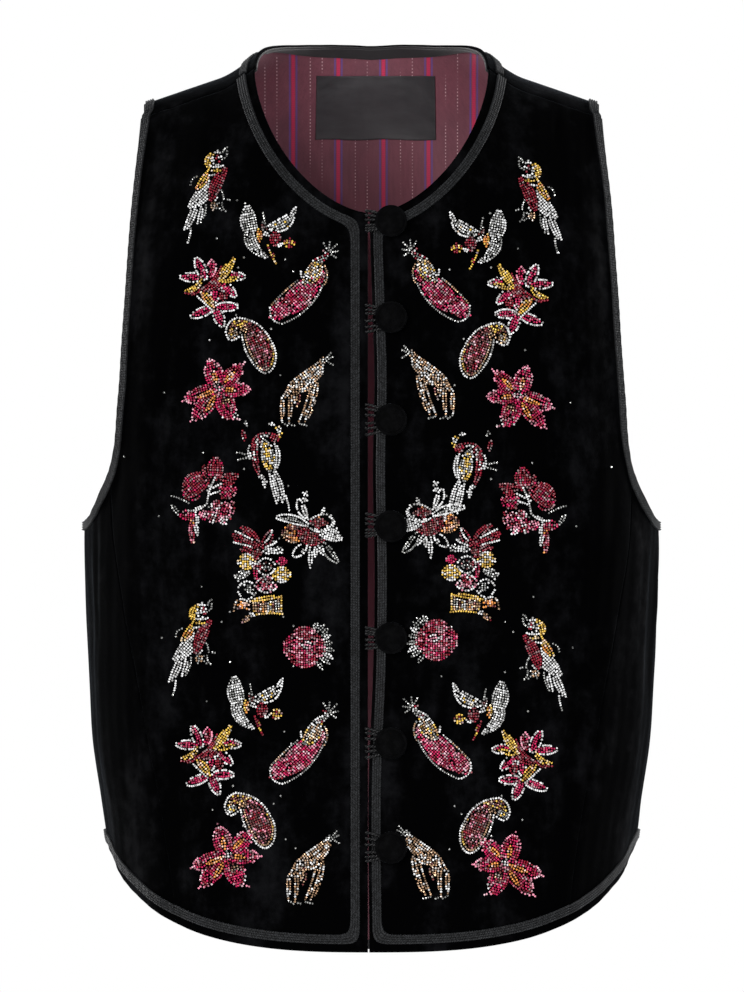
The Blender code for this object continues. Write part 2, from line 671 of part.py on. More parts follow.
def lay_loop(name, height, material, sides=6):
    """A cord loop as one closed tube along its route."""
    centre, normals = loop_route(height)
    ahead = np.gradient(centre, axis=0)
    across = np.cross(ahead, normals)
    across /= np.linalg.norm(across, axis=1, keepdims=True)
    out = np.cross(across, ahead)
    out /= np.linalg.norm(out, axis=1, keepdims=True)
    angle = np.arange(sides) / sides * 2 * math.pi
    ring = (np.cos(angle)[None, :, None] * across[:, None] + np.sin(angle)[None, :, None] * out[:, None])
    points = (centre[:, None] + LOOP_RADIUS * ring).reshape(-1, 3)
    faces = [tuple(range(sides)), tuple(range(len(points) - sides, len(points)))]
    for i in range(len(centre) - 1):
        for k in range(sides):
            n = (k + 1) % sides
            low = i * sides
            faces.append((low + k, low + n, low + sides + n, low + sides + k))
    mesh = bpy.data.meshes.new(name)
    mesh.from_pydata(points.tolist(), [], faces)
    return finish_mesh(name, mesh, material)


def build():
    clear_scene()
    velvet = cloth_material("velvet", VELVET, 0.75)
    braid = cloth_material("braid", BRAID, 0.6)
    lining = cloth_material("lining", LINING, 0.6)
    satin = cloth_material("satin", SATIN, 0.35)

    for name, side in (("left", -1), ("right", 1)):
        x, z = front_grid(side)
        panel("front_" + name, over_shoulder, *on_front(x, z), velvet)
        panel("side_" + name, round_side, *side_grid(side), velvet)
        lay_front_braid("braid_" + name, side, braid)
        lay_armhole_braid("braid_armhole_" + name, side, braid)

    panel("back", over_shoulder, *back_grid(), velvet)
    panel("back_lining", over_shoulder, *back_grid(), lining, -(WALL + SEAM_GAP), LINING_WALL)
    lay_facing("back_neck_facing", velvet)
    lay_label("label", satin)

    x, turn = back_neck_path()
    neck = [(over_shoulder, x, turn)]
    ribbon("braid_back_neck", edge_strips(neck, (BRAID_INSET, BRAID_INSET + BRAID_WIDTH)), braid)
    lay_back_hem_braid("braid_back_hem", braid)

    for number, height in enumerate(BUTTON_HEIGHTS, start=1):
        lay_button(f"button_{number}", height, velvet)
        lay_loop(f"loop_{number}", height, braid)


build()
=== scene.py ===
"""Velvet waistcoat in its worn form: the looks of every piece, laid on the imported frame.

All sizes are in metres, in the frame of the solids: +Z up, front facing -Y, left and right as
seen from the front. The torso surface is worked out as the solids' one is, from rings round
the body that close over a shoulder ridge, and each piece is a fine grid on it.
"""

import math

import bmesh
import bpy
import numpy as np
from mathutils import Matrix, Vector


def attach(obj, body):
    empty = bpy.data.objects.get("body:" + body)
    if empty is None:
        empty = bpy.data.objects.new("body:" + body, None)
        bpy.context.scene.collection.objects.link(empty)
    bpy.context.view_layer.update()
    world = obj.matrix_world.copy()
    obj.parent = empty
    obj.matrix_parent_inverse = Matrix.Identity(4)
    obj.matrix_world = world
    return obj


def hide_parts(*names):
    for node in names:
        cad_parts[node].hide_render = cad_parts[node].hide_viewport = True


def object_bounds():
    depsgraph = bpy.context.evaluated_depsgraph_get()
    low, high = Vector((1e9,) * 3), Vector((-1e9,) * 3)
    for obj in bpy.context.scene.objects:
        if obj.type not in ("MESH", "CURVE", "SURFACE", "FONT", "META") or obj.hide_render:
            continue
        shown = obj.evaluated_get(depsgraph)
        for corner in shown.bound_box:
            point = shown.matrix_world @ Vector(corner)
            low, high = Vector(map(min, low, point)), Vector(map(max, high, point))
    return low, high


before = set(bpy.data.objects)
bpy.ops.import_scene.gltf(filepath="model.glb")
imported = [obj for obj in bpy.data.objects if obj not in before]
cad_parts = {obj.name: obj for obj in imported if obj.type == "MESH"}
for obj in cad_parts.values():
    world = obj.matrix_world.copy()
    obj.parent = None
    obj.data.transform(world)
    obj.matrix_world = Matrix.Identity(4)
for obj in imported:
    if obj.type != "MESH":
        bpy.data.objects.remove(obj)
CAD_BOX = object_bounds()

MM = 0.001

# The photograph's frame: real size of a pixel, and where its centre line and shoulder level lie
PIXEL = 0.65 * MM
CENTRE_PX = 371.5
LEVEL_PX = 64.0
PHOTO_HEIGHT_PX = 992
PHOTO_WIDTH_PX = 744

# Cloth and trim
WALL = 2.0 * MM
LINING_WALL = 1.0 * MM
LABEL_WALL = 0.8 * MM
SEAM_GAP = -0.15 * MM
LAYER_GAP = 0.3 * MM
BRAID_LIFT = 0.1 * MM
BRAID_HEIGHT = 1.5 * MM
BRAID_WIDTH = 6.0 * MM
BRAID_ROWS = 4
BRAID_GRAIN = 2.9 * MM
BRAID_INSET = 5.2 * MM
BRAID_LINES = (BRAID_INSET, BRAID_INSET + BRAID_WIDTH)
CORNER_TURNS = 45
RIGHT_BRAID_SHIFT = 3.2 * MM
ARMHOLE_INSET = 1.5 * MM
SETTLE_TURNS = 6
SIDE_TURNS = 8

# Half width over which stripes run straight up, and the grid rows of a rolled edge
FLAT_HALF = 85 * MM
RIM_ROWS = 4
RIM = 1.1 * MM
LINING_RIM = 0.5 * MM
LABEL_RIM = 0.3 * MM

# Shoulder ridge, where front and back meet
SHOULDER_ROUND = 125 * MM
RIDGE_SLOPE = 0.353
RIDGE_BASE = 46.9 * MM
RIDGE_SOFTNESS = 30 * MM
NECK_RISE = 41 * MM
NECK_REACH = 100 * MM
SHOULDER_HALF_WIDTH = 149 * MM
SEAM_DROP = 8.5 * MM
RING_POWER = 2.3

# Neck, front edges and hem
NECK_HALF_WIDTH = 76.5 * MM
NECK_TOP = -3.3 * MM
NECK_POINT = -98 * MM
NECK_POWER = 1.7
BACK_NECK_TURN = 0.5525
LEFT_EDGE = -2.3 * MM
HEM_CENTRE = -575.5 * MM
BACK_HEM_CENTRE = -577.0 * MM
HEM_SIDE = -511.6 * MM
HEM_REACH = 175.5 * MM
HEM_POWER = 2.8
HEM_SIDE_SHARE = 0.5929
SEAM_FOOT = 126.8 * MM

# Armholes
UNDERARM = -295.8 * MM
ARMHOLE_SCOOP = 32 * MM
ARMHOLE_SCOOP_ANGLE = 24.1
ARMHOLE_SCOOP_POWER = 3.2

# Fastening
BUTTON_X = 12.5 * MM
BUTTON_RADIUS = 10.4 * MM
BUTTON_DOME = 1.9 * MM
BUTTON_RIM = 1.8 * MM
SHANK_RADIUS = 1.5 * MM
SHANK_LENGTH = 4.6 * MM
SHANK_GAP = 0.6 * MM
BUTTON_SIDES = 56
BUTTON_HEIGHTS = (-0.104, -0.166, -0.2317, -0.3, -0.372, -0.4404, -0.508)

# Side line of a button's cover over its dome: share of the radius, share of the dome's height
BUTTON_COVER = (
    (0.945, 0), (0.90, -0.05), (0.865, -0.12), (0.835, 0.04), (0.78, 0.30), (0.66, 0.60),
    (0.48, 0.83), (0.26, 0.96), (0.001, 1),
)

# Studio: camera, the height that the lights aim at, the world as seen and as it lights, floor
CAMERA_DISTANCE = 16.0
SENSOR = 36
AIM_HEIGHT = -0.30
WORLD_SEEN = 1.0
WORLD_LIT = 0.13
FLOOR_DROP = 0.30
FLOOR_RADIUS = 1.15

# Lights: name, place, size, watts, colour
LIGHTS = (
    ("key", (-1.4, -2.9, 0.3), (1.0, 1.6), 66, (1, 1, 1)),
    ("fill", (1.5, -2.9, 0.1), (1.0, 1.6), 42, (0.96, 0.98, 1)),
    ("spark", (-0.7, -3.2, 0.5), (0.22, 0.22), 20, (1, 1, 1)),
    ("low", (0.2, -2.8, -0.9), (1.8, 0.6), 8, (1, 0.99, 0.97)),
    ("left_edge", (-2.4, 1.5, 0.4), (0.7, 1.9), 90, (1, 1, 1)),
    ("right_edge", (2.4, 1.5, 0.4), (0.7, 1.9), 90, (1, 1, 1)),
    ("behind", (0.3, 2.9, 1.2), (1.8, 1.6), 20, (1, 1, 1)),
    ("above", (0.5, -0.2, 2.5), (1.4, 1.4), 16, (1, 1, 1)),
)

# Rings round the torso: height, half width, front depth, back depth
RINGS = np.array([
    (-0.640, 0.1620, 0.111, 0.104),
    (-0.575, 0.1665, 0.109, 0.101),
    (-0.510, 0.1712, 0.106, 0.096),
    (-0.440, 0.1812, 0.104, 0.088),
    (-0.370, 0.1850, 0.108, 0.083),
    (-0.300, 0.1865, 0.114, 0.087),
    (-0.250, 0.1845, 0.115, 0.093),
    (-0.200, 0.1800, 0.112, 0.100),
    (-0.150, 0.1745, 0.106, 0.105),
    (-0.100, 0.1690, 0.098, 0.106),
    (-0.050, 0.1655, 0.090, 0.103),
    (0.000, 0.1630, 0.085, 0.099),
    (0.060, 0.1600, 0.082, 0.096),
])

# Armhole edges above the scoop: height, front x, back x
ARMHOLES = np.array([
    (-0.264, 0.1710, 0.1695),
    (-0.250, 0.1677, 0.1655),
    (-0.218, 0.1645, 0.1600),
    (-0.153, 0.1600, 0.1555),
    (-0.088, 0.1554, 0.1520),
    (-0.020, 0.1490, 0.1480),
    (0.020, 0.1480, 0.1480),
])

# Seams between front or back and the side panel: height, front x, back share of half width
SIDE_SEAMS = np.array([
    (-0.590, 0.1245, 0.880),
    (-0.560, 0.1268, 0.885),
    (-0.530, 0.1300, 0.890),
    (-0.488, 0.1360, 0.895),
    (-0.436, 0.1455, 0.900),
    (-0.390, 0.1540, 0.905),
    (-0.350, 0.1615, 0.908),
    (-0.310, 0.1680, 0.912),
    (-0.264, 0.1710, 0.916),
])

# Front edge on the right, which wanders beside the left one: height, x
RIGHT_EDGE = np.array([
    (-0.580, -0.0014),
    (-0.450, -0.0014),
    (-0.400, 0.0008),
    (-0.335, 0.0020),
    (-0.265, 0.0008),
    (-0.200, 0.0018),
    (-0.155, 0.0004),
    (-0.098, -0.0014),
])

# Broad folds of the solids: girth angle from the front centre, top, bottom, half width, depth
FOLDS = np.array([
    (78, -0.28, -0.47, 4.5, -0.0024),
    (97, -0.30, -0.50, 5.0, -0.0020),
    (-80, -0.29, -0.42, 4.0, -0.0022),
    (-96, -0.33, -0.50, 5.5, -0.0018),
    (42, -0.02, -0.12, 4.5, -0.0018),
    (-46, -0.01, -0.07, 4.0, -0.0014),
    (38, -0.42, -0.60, 9.0, 0.0020),
    (22, -0.44, -0.60, 7.0, -0.0016),
    (-34, -0.45, -0.60, 9.0, 0.0016),
    (-18, -0.42, -0.60, 7.0, -0.0014),
    (64, -0.22, -0.33, 6.0, -0.0018),
    (-62, -0.22, -0.34, 6.0, -0.0016),
    (148, -0.36, -0.62, 9.0, 0.0020),
    (165, -0.38, -0.62, 8.0, -0.0018),
    (-152, -0.34, -0.62, 9.0, 0.0018),
    (-170, -0.40, -0.62, 8.0, -0.0016),
    (128, -0.10, -0.30, 7.0, -0.0020),
    (-130, -0.12, -0.30, 7.0, -0.0018),
])

# Unevenness of the cloth all over: a slow waver and a finer ripple
WAVER = 0.35 * MM
RIPPLE = 0.22 * MM

# Finer creases of the cloth: girth angle at the middle, lean in degrees for each metre up,
# top, bottom, half width in degrees, depth
CREASES = np.array([
    (44.0, 40, -0.022, -0.060, 1.3, -0.0016),
    (49.0, 30, -0.020, -0.046, 1.1, -0.0010),
    (-49.0, -60, -0.012, -0.040, 1.4, -0.0014),
    (70.0, 20, -0.275, -0.420, 1.8, -0.0012),
    (84.0, -10, -0.300, -0.390, 1.6, 0.0010),
    (-72.0, 15, -0.270, -0.400, 1.7, -0.0012),
    (-86.0, 10, -0.300, -0.440, 1.9, -0.0010),
    (90.0, 25, -0.400, -0.500, 1.8, -0.0011),
    (-91.0, -20, -0.380, -0.490, 1.7, -0.0011),
    (28.0, 15, -0.470, -0.590, 2.2, -0.0009),
    (12.0, -10, -0.500, -0.590, 2.0, 0.0008),
    (-26.0, 12, -0.480, -0.590, 2.4, -0.0008),
    (-10.0, -8, -0.490, -0.590, 1.9, 0.0007),
    (56.0, 30, -0.240, -0.330, 2.0, -0.0010),
    (-54.0, -24, -0.230, -0.320, 2.1, -0.0010),
    (120.0, 40, -0.050, -0.200, 2.2, -0.0013),
    (-122.0, -35, -0.060, -0.190, 2.3, -0.0012),
    (140.0, -20, -0.020, -0.090, 2.0, -0.0010),
    (-138.0, 25, -0.020, -0.100, 2.0, -0.0010),
    (158.0, 10, -0.320, -0.480, 2.6, -0.0012),
    (-160.0, -12, -0.300, -0.470, 2.8, -0.0012),
    (172.0, 5, -0.330, -0.420, 2.2, 0.0009),
    (-176.0, -4, -0.420, -0.590, 2.5, -0.0010),
    (104.0, 15, -0.330, -0.480, 2.1, -0.0012),
    (-106.0, -15, -0.340, -0.500, 2.2, -0.0012),
])


def smooth_column(rows, column, at):
    """A table's column at any height: cubic Hermite pieces through its rows."""
    order = np.argsort(rows[:, 0])
    knots = rows[order, 0]
    values = rows[order, column]
    slopes = np.gradient(values, knots)
    at = np.clip(at, knots[0], knots[-1])
    k = np.clip(np.searchsorted(knots, at) - 1, 0, len(knots) - 2)
    width = knots[k + 1] - knots[k]
    u = (at - knots[k]) / width
    rise = u * u * (3 - 2 * u)
    ends = values[k] + (values[k + 1] - values[k]) * rise
    bends = width * u * (1 - u) * (slopes[k] * (1 - u) - slopes[k + 1] * u)
    return ends + bends


def ridge_height(x):
    """Height of the shoulder ridge: a straight slope, rounded and raised towards the neck."""
    slope = RIDGE_SLOPE * (RIDGE_BASE + RIDGE_SOFTNESS - np.hypot(x, RIDGE_SOFTNESS))
    near_neck = np.clip(1 - (x / NECK_REACH) ** 2, 0, 1)
    return slope + NECK_RISE * near_neck ** 2


def turn_at(x, z):
    """How far over the shoulder a height lies: 0 on the ridge, 1 where the wall hangs straight."""
    drop = ridge_height(x) - z
    curved = np.arccos(np.clip(1 - drop / SHOULDER_ROUND, -1, 1)) / (math.pi / 2)
    straight = 1 + (drop - SHOULDER_ROUND) / (SHOULDER_ROUND * math.pi / 2)
    return np.where(drop < SHOULDER_ROUND, curved, straight)


def bump_along(top, bottom, z):
    """A crease's strength along its length: a squared sine that stays up towards the hem."""
    along = np.clip((top - z) / (top - bottom), 0, 1)
    return np.sin(math.pi * np.minimum(along, 0.75)) ** 2


def cloth_lift(girth, z):
    """How far folds, creases and the cloth's own unevenness move it out."""
    lift = np.zeros(np.broadcast(girth, z).shape)
    for angle, top, bottom, half_width, depth in FOLDS:
        lift = lift + depth * np.exp(-((girth - angle) / half_width) ** 2) * bump_along(top, bottom, z)
    for angle, lean, top, bottom, half_width, depth in CREASES:
        away = girth - angle - lean * (z - (top + bottom) / 2)
        along = np.clip((top - z) / (top - bottom), 0, 1)
        lift = lift + depth * np.exp(-(away / half_width) ** 2) * np.sin(math.pi * along) ** 2
    waver = np.sin(0.31 * girth + 41 * z) * np.sin(63 * z - 0.13 * girth + 1.0)
    ripple = np.sin(0.83 * girth - 70 * z + 2.0) * np.sin(37 * z + 0.47 * girth)
    return lift + WAVER * waver + RIPPLE * ripple


def over_shoulder(x, turn):
    """Torso points from x and the turn over the shoulder, negative in front and positive behind."""
    part = np.minimum(np.abs(turn), 1) * math.pi / 2
    beyond = np.maximum(np.abs(turn) - 1, 0) * math.pi / 2
    z = ridge_height(x) - SHOULDER_ROUND * (1 - np.cos(part) + beyond)
    half_width = smooth_column(RINGS, 1, z)
    front = turn < 0
    depth = np.where(front, smooth_column(RINGS, 2, z), smooth_column(RINGS, 3, z))
    share = np.clip(np.abs(x) / half_width, 0, 0.9999)
    round_off = (1 - share ** RING_POWER) ** (1 / RING_POWER)
    y = np.where(front, -1, 1) * depth * round_off * np.sin(part)
    girth = np.degrees(np.arcsin(share ** (RING_POWER / 2)))
    girth = np.sign(x) * np.where(front, girth, 180 - girth)
    return np.stack([x, y, z], axis=-1), cloth_lift(girth, z) * np.sin(part)


def round_side(girth, z):
    """Torso points from the girth angle in degrees (0 front centre, 90 right side) and height."""
    half_width = smooth_column(RINGS, 1, z)
    angle = np.radians(girth)
    front = np.cos(angle) > 0
    depth = np.where(front, smooth_column(RINGS, 2, z), smooth_column(RINGS, 3, z))
    x = np.sign(np.sin(angle)) * half_width * np.abs(np.sin(angle)) ** (2 / RING_POWER)
    y = -np.sign(np.cos(angle)) * depth * np.abs(np.cos(angle)) ** (2 / RING_POWER)
    turn = np.minimum(turn_at(x, z), 1)
    y = y * np.sin(turn * math.pi / 2)
    return np.stack([x, y, z], axis=-1), cloth_lift(girth, z)


STEPS = {over_shoulder: (1e-4, 1e-3), round_side: (0.1, 1e-4)}


def slopes_of(chart, first, second):
    """Directions of travel along both parameters of a chart, by central differences."""
    a, b = STEPS[chart]
    along_first = chart(first + a, second)[0] - chart(first - a, second)[0]
    along_second = chart(first, second + b)[0] - chart(first, second - b)[0]
    return along_first / (2 * a), along_second / (2 * b)


def unit(vectors):
    return vectors / np.linalg.norm(vectors, axis=-1, keepdims=True)


def place(chart, first, second):
    """Folded surface points and outward normals of a chart at two arrays of its parameters."""
    first, second = np.broadcast_arrays(np.asarray(first, float), np.asarray(second, float))
    points, lift = chart(first, second)
    normals = unit(np.cross(*slopes_of(chart, first, second)))
    return points + normals * lift[..., None], normals


def on_front(x, z):
    """Chart parameters of a front point seen at x and z."""
    return x, -turn_at(x, z)


def girth_of(x, z, behind=False):
    """Girth angle of the torso point at x and z, in front or behind."""
    share = np.clip(np.abs(x) / smooth_column(RINGS, 1, z), 0, 1)
    angle = np.degrees(np.arcsin(share ** (RING_POWER / 2)))
    return np.where(behind, 180 - angle, angle) * np.sign(x)


def hem_height(x, centre=HEM_CENTRE):
    """Hem curve: low and flat in the middle, rising to the sides as a squarish arc."""
    share = np.clip(np.abs(x) / HEM_REACH, 0, 1)
    rise = (HEM_SIDE - centre) / HEM_SIDE_SHARE
    return centre + rise * (1 - (1 - share ** HEM_POWER) ** (1 / HEM_POWER))


def hem_at_girth(girth):
    """Hem height at a girth angle, the back one longer than the front one."""
    z = np.full(np.shape(girth), HEM_SIDE)
    centre = np.where(np.abs(girth) > 90, BACK_HEM_CENTRE, HEM_CENTRE)
    for _ in range(SETTLE_TURNS):
        z = hem_height(round_side(girth, z)[0][..., 0], centre)
    return z


def armhole_bottom(girth):
    """Armhole height round the side, lowest under the arm."""
    away = np.abs(90 - np.abs(girth)) / ARMHOLE_SCOOP_ANGLE
    return UNDERARM + ARMHOLE_SCOOP * away ** ARMHOLE_SCOOP_POWER


def neck_curve(angle):
    """x and z of the neck edge, from the front centre at 0 to the shoulder seam at a right angle."""
    x = NECK_HALF_WIDTH * np.sin(angle) ** (2 / NECK_POWER)
    return x, NECK_TOP + (NECK_POINT - NECK_TOP) * np.cos(angle) ** (2 / NECK_POWER)


def front_grid(side, columns=110, seam_rows=92, arm_rows=48, neck_rows=56):
    """x and z of a front panel's grid: rows from the hem up, columns from the centre outwards."""
    neck_x, neck_z = neck_curve(np.linspace(0, math.pi / 2, neck_rows + 1))
    foot_z = hem_height(SEAM_FOOT)
    corner_z = ARMHOLES[0, 0]
    out_low = np.concatenate([np.linspace(foot_z, corner_z, seam_rows + 1)[:-1],
                              np.linspace(corner_z, NECK_POINT, arm_rows + 1)[:-1]])
    low_z = HEM_CENTRE + (out_low - foot_z) * (NECK_POINT - HEM_CENTRE) / (NECK_POINT - foot_z)
    if side > 0:
        edge = smooth_column(RIGHT_EDGE, 1, low_z)
        neck_x = np.maximum(neck_x, smooth_column(RIGHT_EDGE, 1, neck_z[0]))
    else:
        edge = np.full(len(low_z), -LEFT_EDGE)
        neck_x = np.maximum(neck_x, -LEFT_EDGE)
    in_x = np.concatenate([edge, neck_x])
    in_z = np.concatenate([low_z, neck_z])
    tip_z = ridge_height(SHOULDER_HALF_WIDTH) - SEAM_DROP
    out_z = np.concatenate([out_low, np.linspace(NECK_POINT, tip_z, neck_rows + 1)])
    out_x = np.where(out_z < corner_z, smooth_column(SIDE_SEAMS, 1, out_z) - SEAM_GAP,
                     smooth_column(ARMHOLES, 1, out_z))
    s = np.linspace(0, 1, columns)[None, :]
    x = in_x[:, None] + (out_x - in_x)[:, None] * s
    z = in_z[:, None] + (out_z - in_z)[:, None] * s
    v = np.linspace(0, 1, len(in_z))[:, None]
    hem_bow = hem_height(x[0]) - z[0]
    seam_bow = ridge_height(x[-1]) - SEAM_DROP - z[-1]
    z = z + hem_bow * np.clip(1 - v * 4, 0, 1) ** 2 + seam_bow * np.clip(v * 4 - 3, 0, 1) ** 2
    return side * x, z


def side_edges(z):
    """Girth angles of the side panel's two seams at a height."""
    front = girth_of(smooth_column(SIDE_SEAMS, 1, z), z)
    back_x = smooth_column(SIDE_SEAMS, 2, z) * smooth_column(RINGS, 1, z)
    return front, girth_of(back_x, z, behind=True)


def side_grid(side, columns=72, rows=110):
    """Girth angle and height of a side panel's grid, from its hem to the armhole."""
    u = np.linspace(0, 1, columns)[None, :]
    v = np.linspace(0, 1, rows)[:, None]
    z = np.full((rows, columns), -0.4)
    gap = math.degrees(SEAM_GAP / 0.13)
    for _ in range(SIDE_TURNS):
        front, back = side_edges(z)
        girth = front + gap + (back - front - 2 * gap) * u
        low = hem_at_girth(girth)
        z = low + (armhole_bottom(girth) - low) * v
    return side * girth, z


def back_edge(turn, share):
    """Half width of the back at a turn: the side seam low down, the armhole above it."""
    x = share * SHOULDER_HALF_WIDTH + np.zeros_like(turn)
    for _ in range(SETTLE_TURNS):
        z = over_shoulder(x, turn)[0][..., 2]
        seam = smooth_column(SIDE_SEAMS, 2, z) * smooth_column(RINGS, 1, z) - SEAM_GAP
        arm = np.where(turn > 0, smooth_column(ARMHOLES, 2, z), SHOULDER_HALF_WIDTH - MM)
        x = share * np.where(z < SIDE_SEAMS[-1, 0], seam, arm)
    return x


def seam_turn(x, drop=SEAM_DROP):
    """Turn of the shoulder seam, a little forward of the ridge."""
    return -turn_at(x, ridge_height(x) - drop)


def back_top_turn(x):
    """Turn of the back's upper edge: the shoulder seams, and the neck edge between them."""
    low = seam_turn(np.abs(x)) - 0.001
    share = np.clip(1 - (np.abs(x) / NECK_HALF_WIDTH) ** NECK_POWER, 0, 1)
    return low + (BACK_NECK_TURN - low) * np.sqrt(share)


def back_columns(count):
    """Column shares of half the back, closer together where the neck edge turns down."""
    neck = NECK_HALF_WIDTH / SHOULDER_HALF_WIDTH
    inner = neck * np.sin(np.linspace(0, math.pi / 2, count))
    outer = neck + (1 - neck) * np.linspace(0, 1, count * 2 // 3) ** 1.4
    return np.concatenate([inner, outer[1:]])


def back_grid(half_columns=44, rows=150):
    """x and turn of the back's grid: rows from the hem up, columns from left to right."""
    half = back_columns(half_columns)
    shares = np.concatenate([-half[:0:-1], half])[None, :]
    top = back_top_turn(shares * SHOULDER_HALF_WIDTH)
    smooth_top = BACK_NECK_TURN - 0.80 * np.abs(shares) ** 1.6
    bottom = np.full_like(shares, turn_at(0.0, BACK_HEM_CENTRE))
    for _ in range(SETTLE_TURNS):
        foot_x = back_edge(bottom, shares)
        bottom = turn_at(foot_x, hem_height(foot_x, BACK_HEM_CENTRE))
    corner = turn_at(ARMHOLES[0, 2], ARMHOLES[0, 0])
    corner_v = (bottom[0, -1] - corner) / (bottom[0, -1] - smooth_top[0, -1])
    low_rows = int(rows * corner_v)
    v = np.concatenate([np.linspace(0, corner_v, low_rows),
                        np.linspace(corner_v, 1, rows - low_rows)[1:]])[:, None]
    lower = bottom + (smooth_top - bottom) * v
    turn = lower + (top - smooth_top) * np.clip(v * 3 - 2, 0, 1) ** 2
    return back_edge(turn, shares), turn


def side_step(chart, first, second, distance):
    """Parameters of points at a distance to the left of a path, measured on the surface."""
    along_first, along_second = slopes_of(chart, first, second)
    ahead = np.gradient(chart(first, second)[0], axis=0)
    sideways = unit(np.cross(np.cross(along_first, along_second), ahead))
    a = np.sum(along_first * along_first, axis=-1)
    b = np.sum(along_first * along_second, axis=-1)
    c = np.sum(along_second * along_second, axis=-1)
    p = np.sum(along_first * sideways, axis=-1)
    q = np.sum(along_second * sideways, axis=-1)
    flat = a * c - b * b
    return first + distance * (c * p - b * q) / flat, second + distance * (a * q - b * p) / flat


def even_line(x, z, count):
    """The same line through a count of points spaced evenly along it."""
    along = np.concatenate([[0], np.cumsum(np.hypot(np.diff(x), np.diff(z)))])
    at = np.linspace(0, along[-1], count)
    return np.interp(at, along, x), np.interp(at, along, z)


def above_hem(x, z, y, inset):
    """Heights of a line that is inset from the hem, measured square to it on the cloth."""
    return z + inset * np.hypot(1, np.gradient(z) / np.hypot(np.gradient(x), np.gradient(y)))


def front_edge_path(side, inset, counts=(130, 380, 110)):
    """x and z of a line inside a front's neck edge, front edge and hem.

    Its two corners are rounded: each point is CORNER_TURNS times set to a quarter, half and
    quarter of its neighbours and itself.
    """
    x, z = neck_curve(np.linspace(math.pi / 2, 0, 400))
    ahead = unit(np.stack([np.gradient(x), np.gradient(z)], axis=1))
    neck_x = x - inset * ahead[:, 1]
    neck_z = z + inset * ahead[:, 0]
    edge_z = np.linspace(NECK_POINT, HEM_CENTRE, counts[1] * 2)
    if side > 0:
        edge_x = smooth_column(RIGHT_EDGE, 1, edge_z) + inset - RIGHT_BRAID_SHIFT
    else:
        edge_x = np.full(len(edge_z), inset - LEFT_EDGE)
    hem_x = np.linspace(0, SEAM_FOOT - SEAM_GAP, counts[2] * 4)
    hem_y = over_shoulder(*on_front(hem_x, hem_height(hem_x)))[0][:, 1]
    hem_z = above_hem(hem_x, hem_height(hem_x), hem_y, inset)
    top_z = np.interp(edge_x[0], neck_x[::-1], neck_z[::-1])
    foot_z = np.interp(edge_x[-1], hem_x, hem_z)
    on_panel = (neck_x > edge_x[0]) & (neck_z < ridge_height(neck_x) - SEAM_DROP)
    on_edge = (edge_z < top_z) & (edge_z > foot_z)
    on_hem = hem_x > edge_x[-1]
    top, foot = (edge_x[0], top_z), (edge_x[-1], foot_z)
    neck = even_line(np.append(neck_x[on_panel], top[0]), np.append(neck_z[on_panel], top[1]), counts[0])
    edge = even_line(np.concatenate([top[:1], edge_x[on_edge], foot[:1]]),
                     np.concatenate([top[1:], edge_z[on_edge], foot[1:]]), counts[1])
    hem = even_line(np.append(foot[0], hem_x[on_hem]), np.append(foot[1], hem_z[on_hem]), counts[2])
    line = np.array([np.concatenate([neck[k], edge[k][1:], hem[k][1:]]) for k in range(2)])
    for _ in range(CORNER_TURNS):
        line[:, 1:-1] = (line[:, :-2] + 2 * line[:, 1:-1] + line[:, 2:]) / 4
    return side * line[0], line[1]


def back_neck_path(count=170):
    """x and turn along the back neck edge, from the left shoulder seam to the right one."""
    angle = np.linspace(-math.pi / 2, math.pi / 2, count)
    x = NECK_HALF_WIDTH * np.sign(angle) * np.abs(np.sin(angle)) ** (2 / NECK_POWER)
    low = seam_turn(np.full(count, NECK_HALF_WIDTH))
    return x, low + (BACK_NECK_TURN - low) * np.cos(angle)


def armhole_parts(side, step=110):
    """An armhole edge as a ring of stretches: down the front, under the arm, up the back."""
    tip = ridge_height(SHOULDER_HALF_WIDTH)
    front_z = np.linspace(tip - SEAM_DROP, ARMHOLES[0, 0], step)
    front = (over_shoulder, *on_front(side * smooth_column(ARMHOLES, 1, front_z), front_z))
    first = girth_of(ARMHOLES[0, 1], ARMHOLES[0, 0])
    last = girth_of(ARMHOLES[0, 2], ARMHOLES[0, 0], behind=True)
    girth = np.linspace(first, last, 60)[1:-1]
    under = (round_side, side * girth, armhole_bottom(girth))
    turn = np.linspace(turn_at(ARMHOLES[0, 2], ARMHOLES[0, 0]), -0.19, step)
    back = (over_shoulder, side * back_edge(turn, 1.0), turn)
    return front, under, back


def into_scene(name, data):
    """A new object at the origin, in the scene."""
    item = bpy.data.objects.new(name, data)
    bpy.context.scene.collection.objects.link(item)
    return item


def link(name, mesh, *materials):
    """Put a mesh in the scene as a smooth piece at the origin that rides on the one body."""
    for material in materials:
        mesh.materials.append(material)
    mesh.shade_smooth()
    item = into_scene(name, mesh)
    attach(item, "root")
    return item


def set_uv(mesh, values):
    """A UV map from one pair of numbers for each vertex."""
    corners = np.empty(len(mesh.loops), dtype=np.int32)
    mesh.loops.foreach_get("vertex_index", corners)
    layer = mesh.uv_layers.new(name="UVMap")
    layer.uv.foreach_set("vector", np.asarray(values, dtype=np.float32)[corners].ravel())


def mesh_of(name, points, faces):
    """A mesh from arrays of points and of faces that all have as many corners."""
    faces = np.asarray(faces, dtype=np.int32)
    corners = faces.shape[1]
    mesh = bpy.data.meshes.new(name)
    mesh.vertices.add(len(points))
    mesh.vertices.foreach_set("co", np.asarray(points, dtype=np.float32).ravel())
    mesh.loops.add(faces.size)
    mesh.loops.foreach_set("vertex_index", faces.ravel())
    mesh.polygons.add(len(faces))
    mesh.polygons.foreach_set("loop_start", np.arange(len(faces), dtype=np.int32) * corners)
    mesh.update(calc_edges=True)
    mesh.validate()
    return mesh


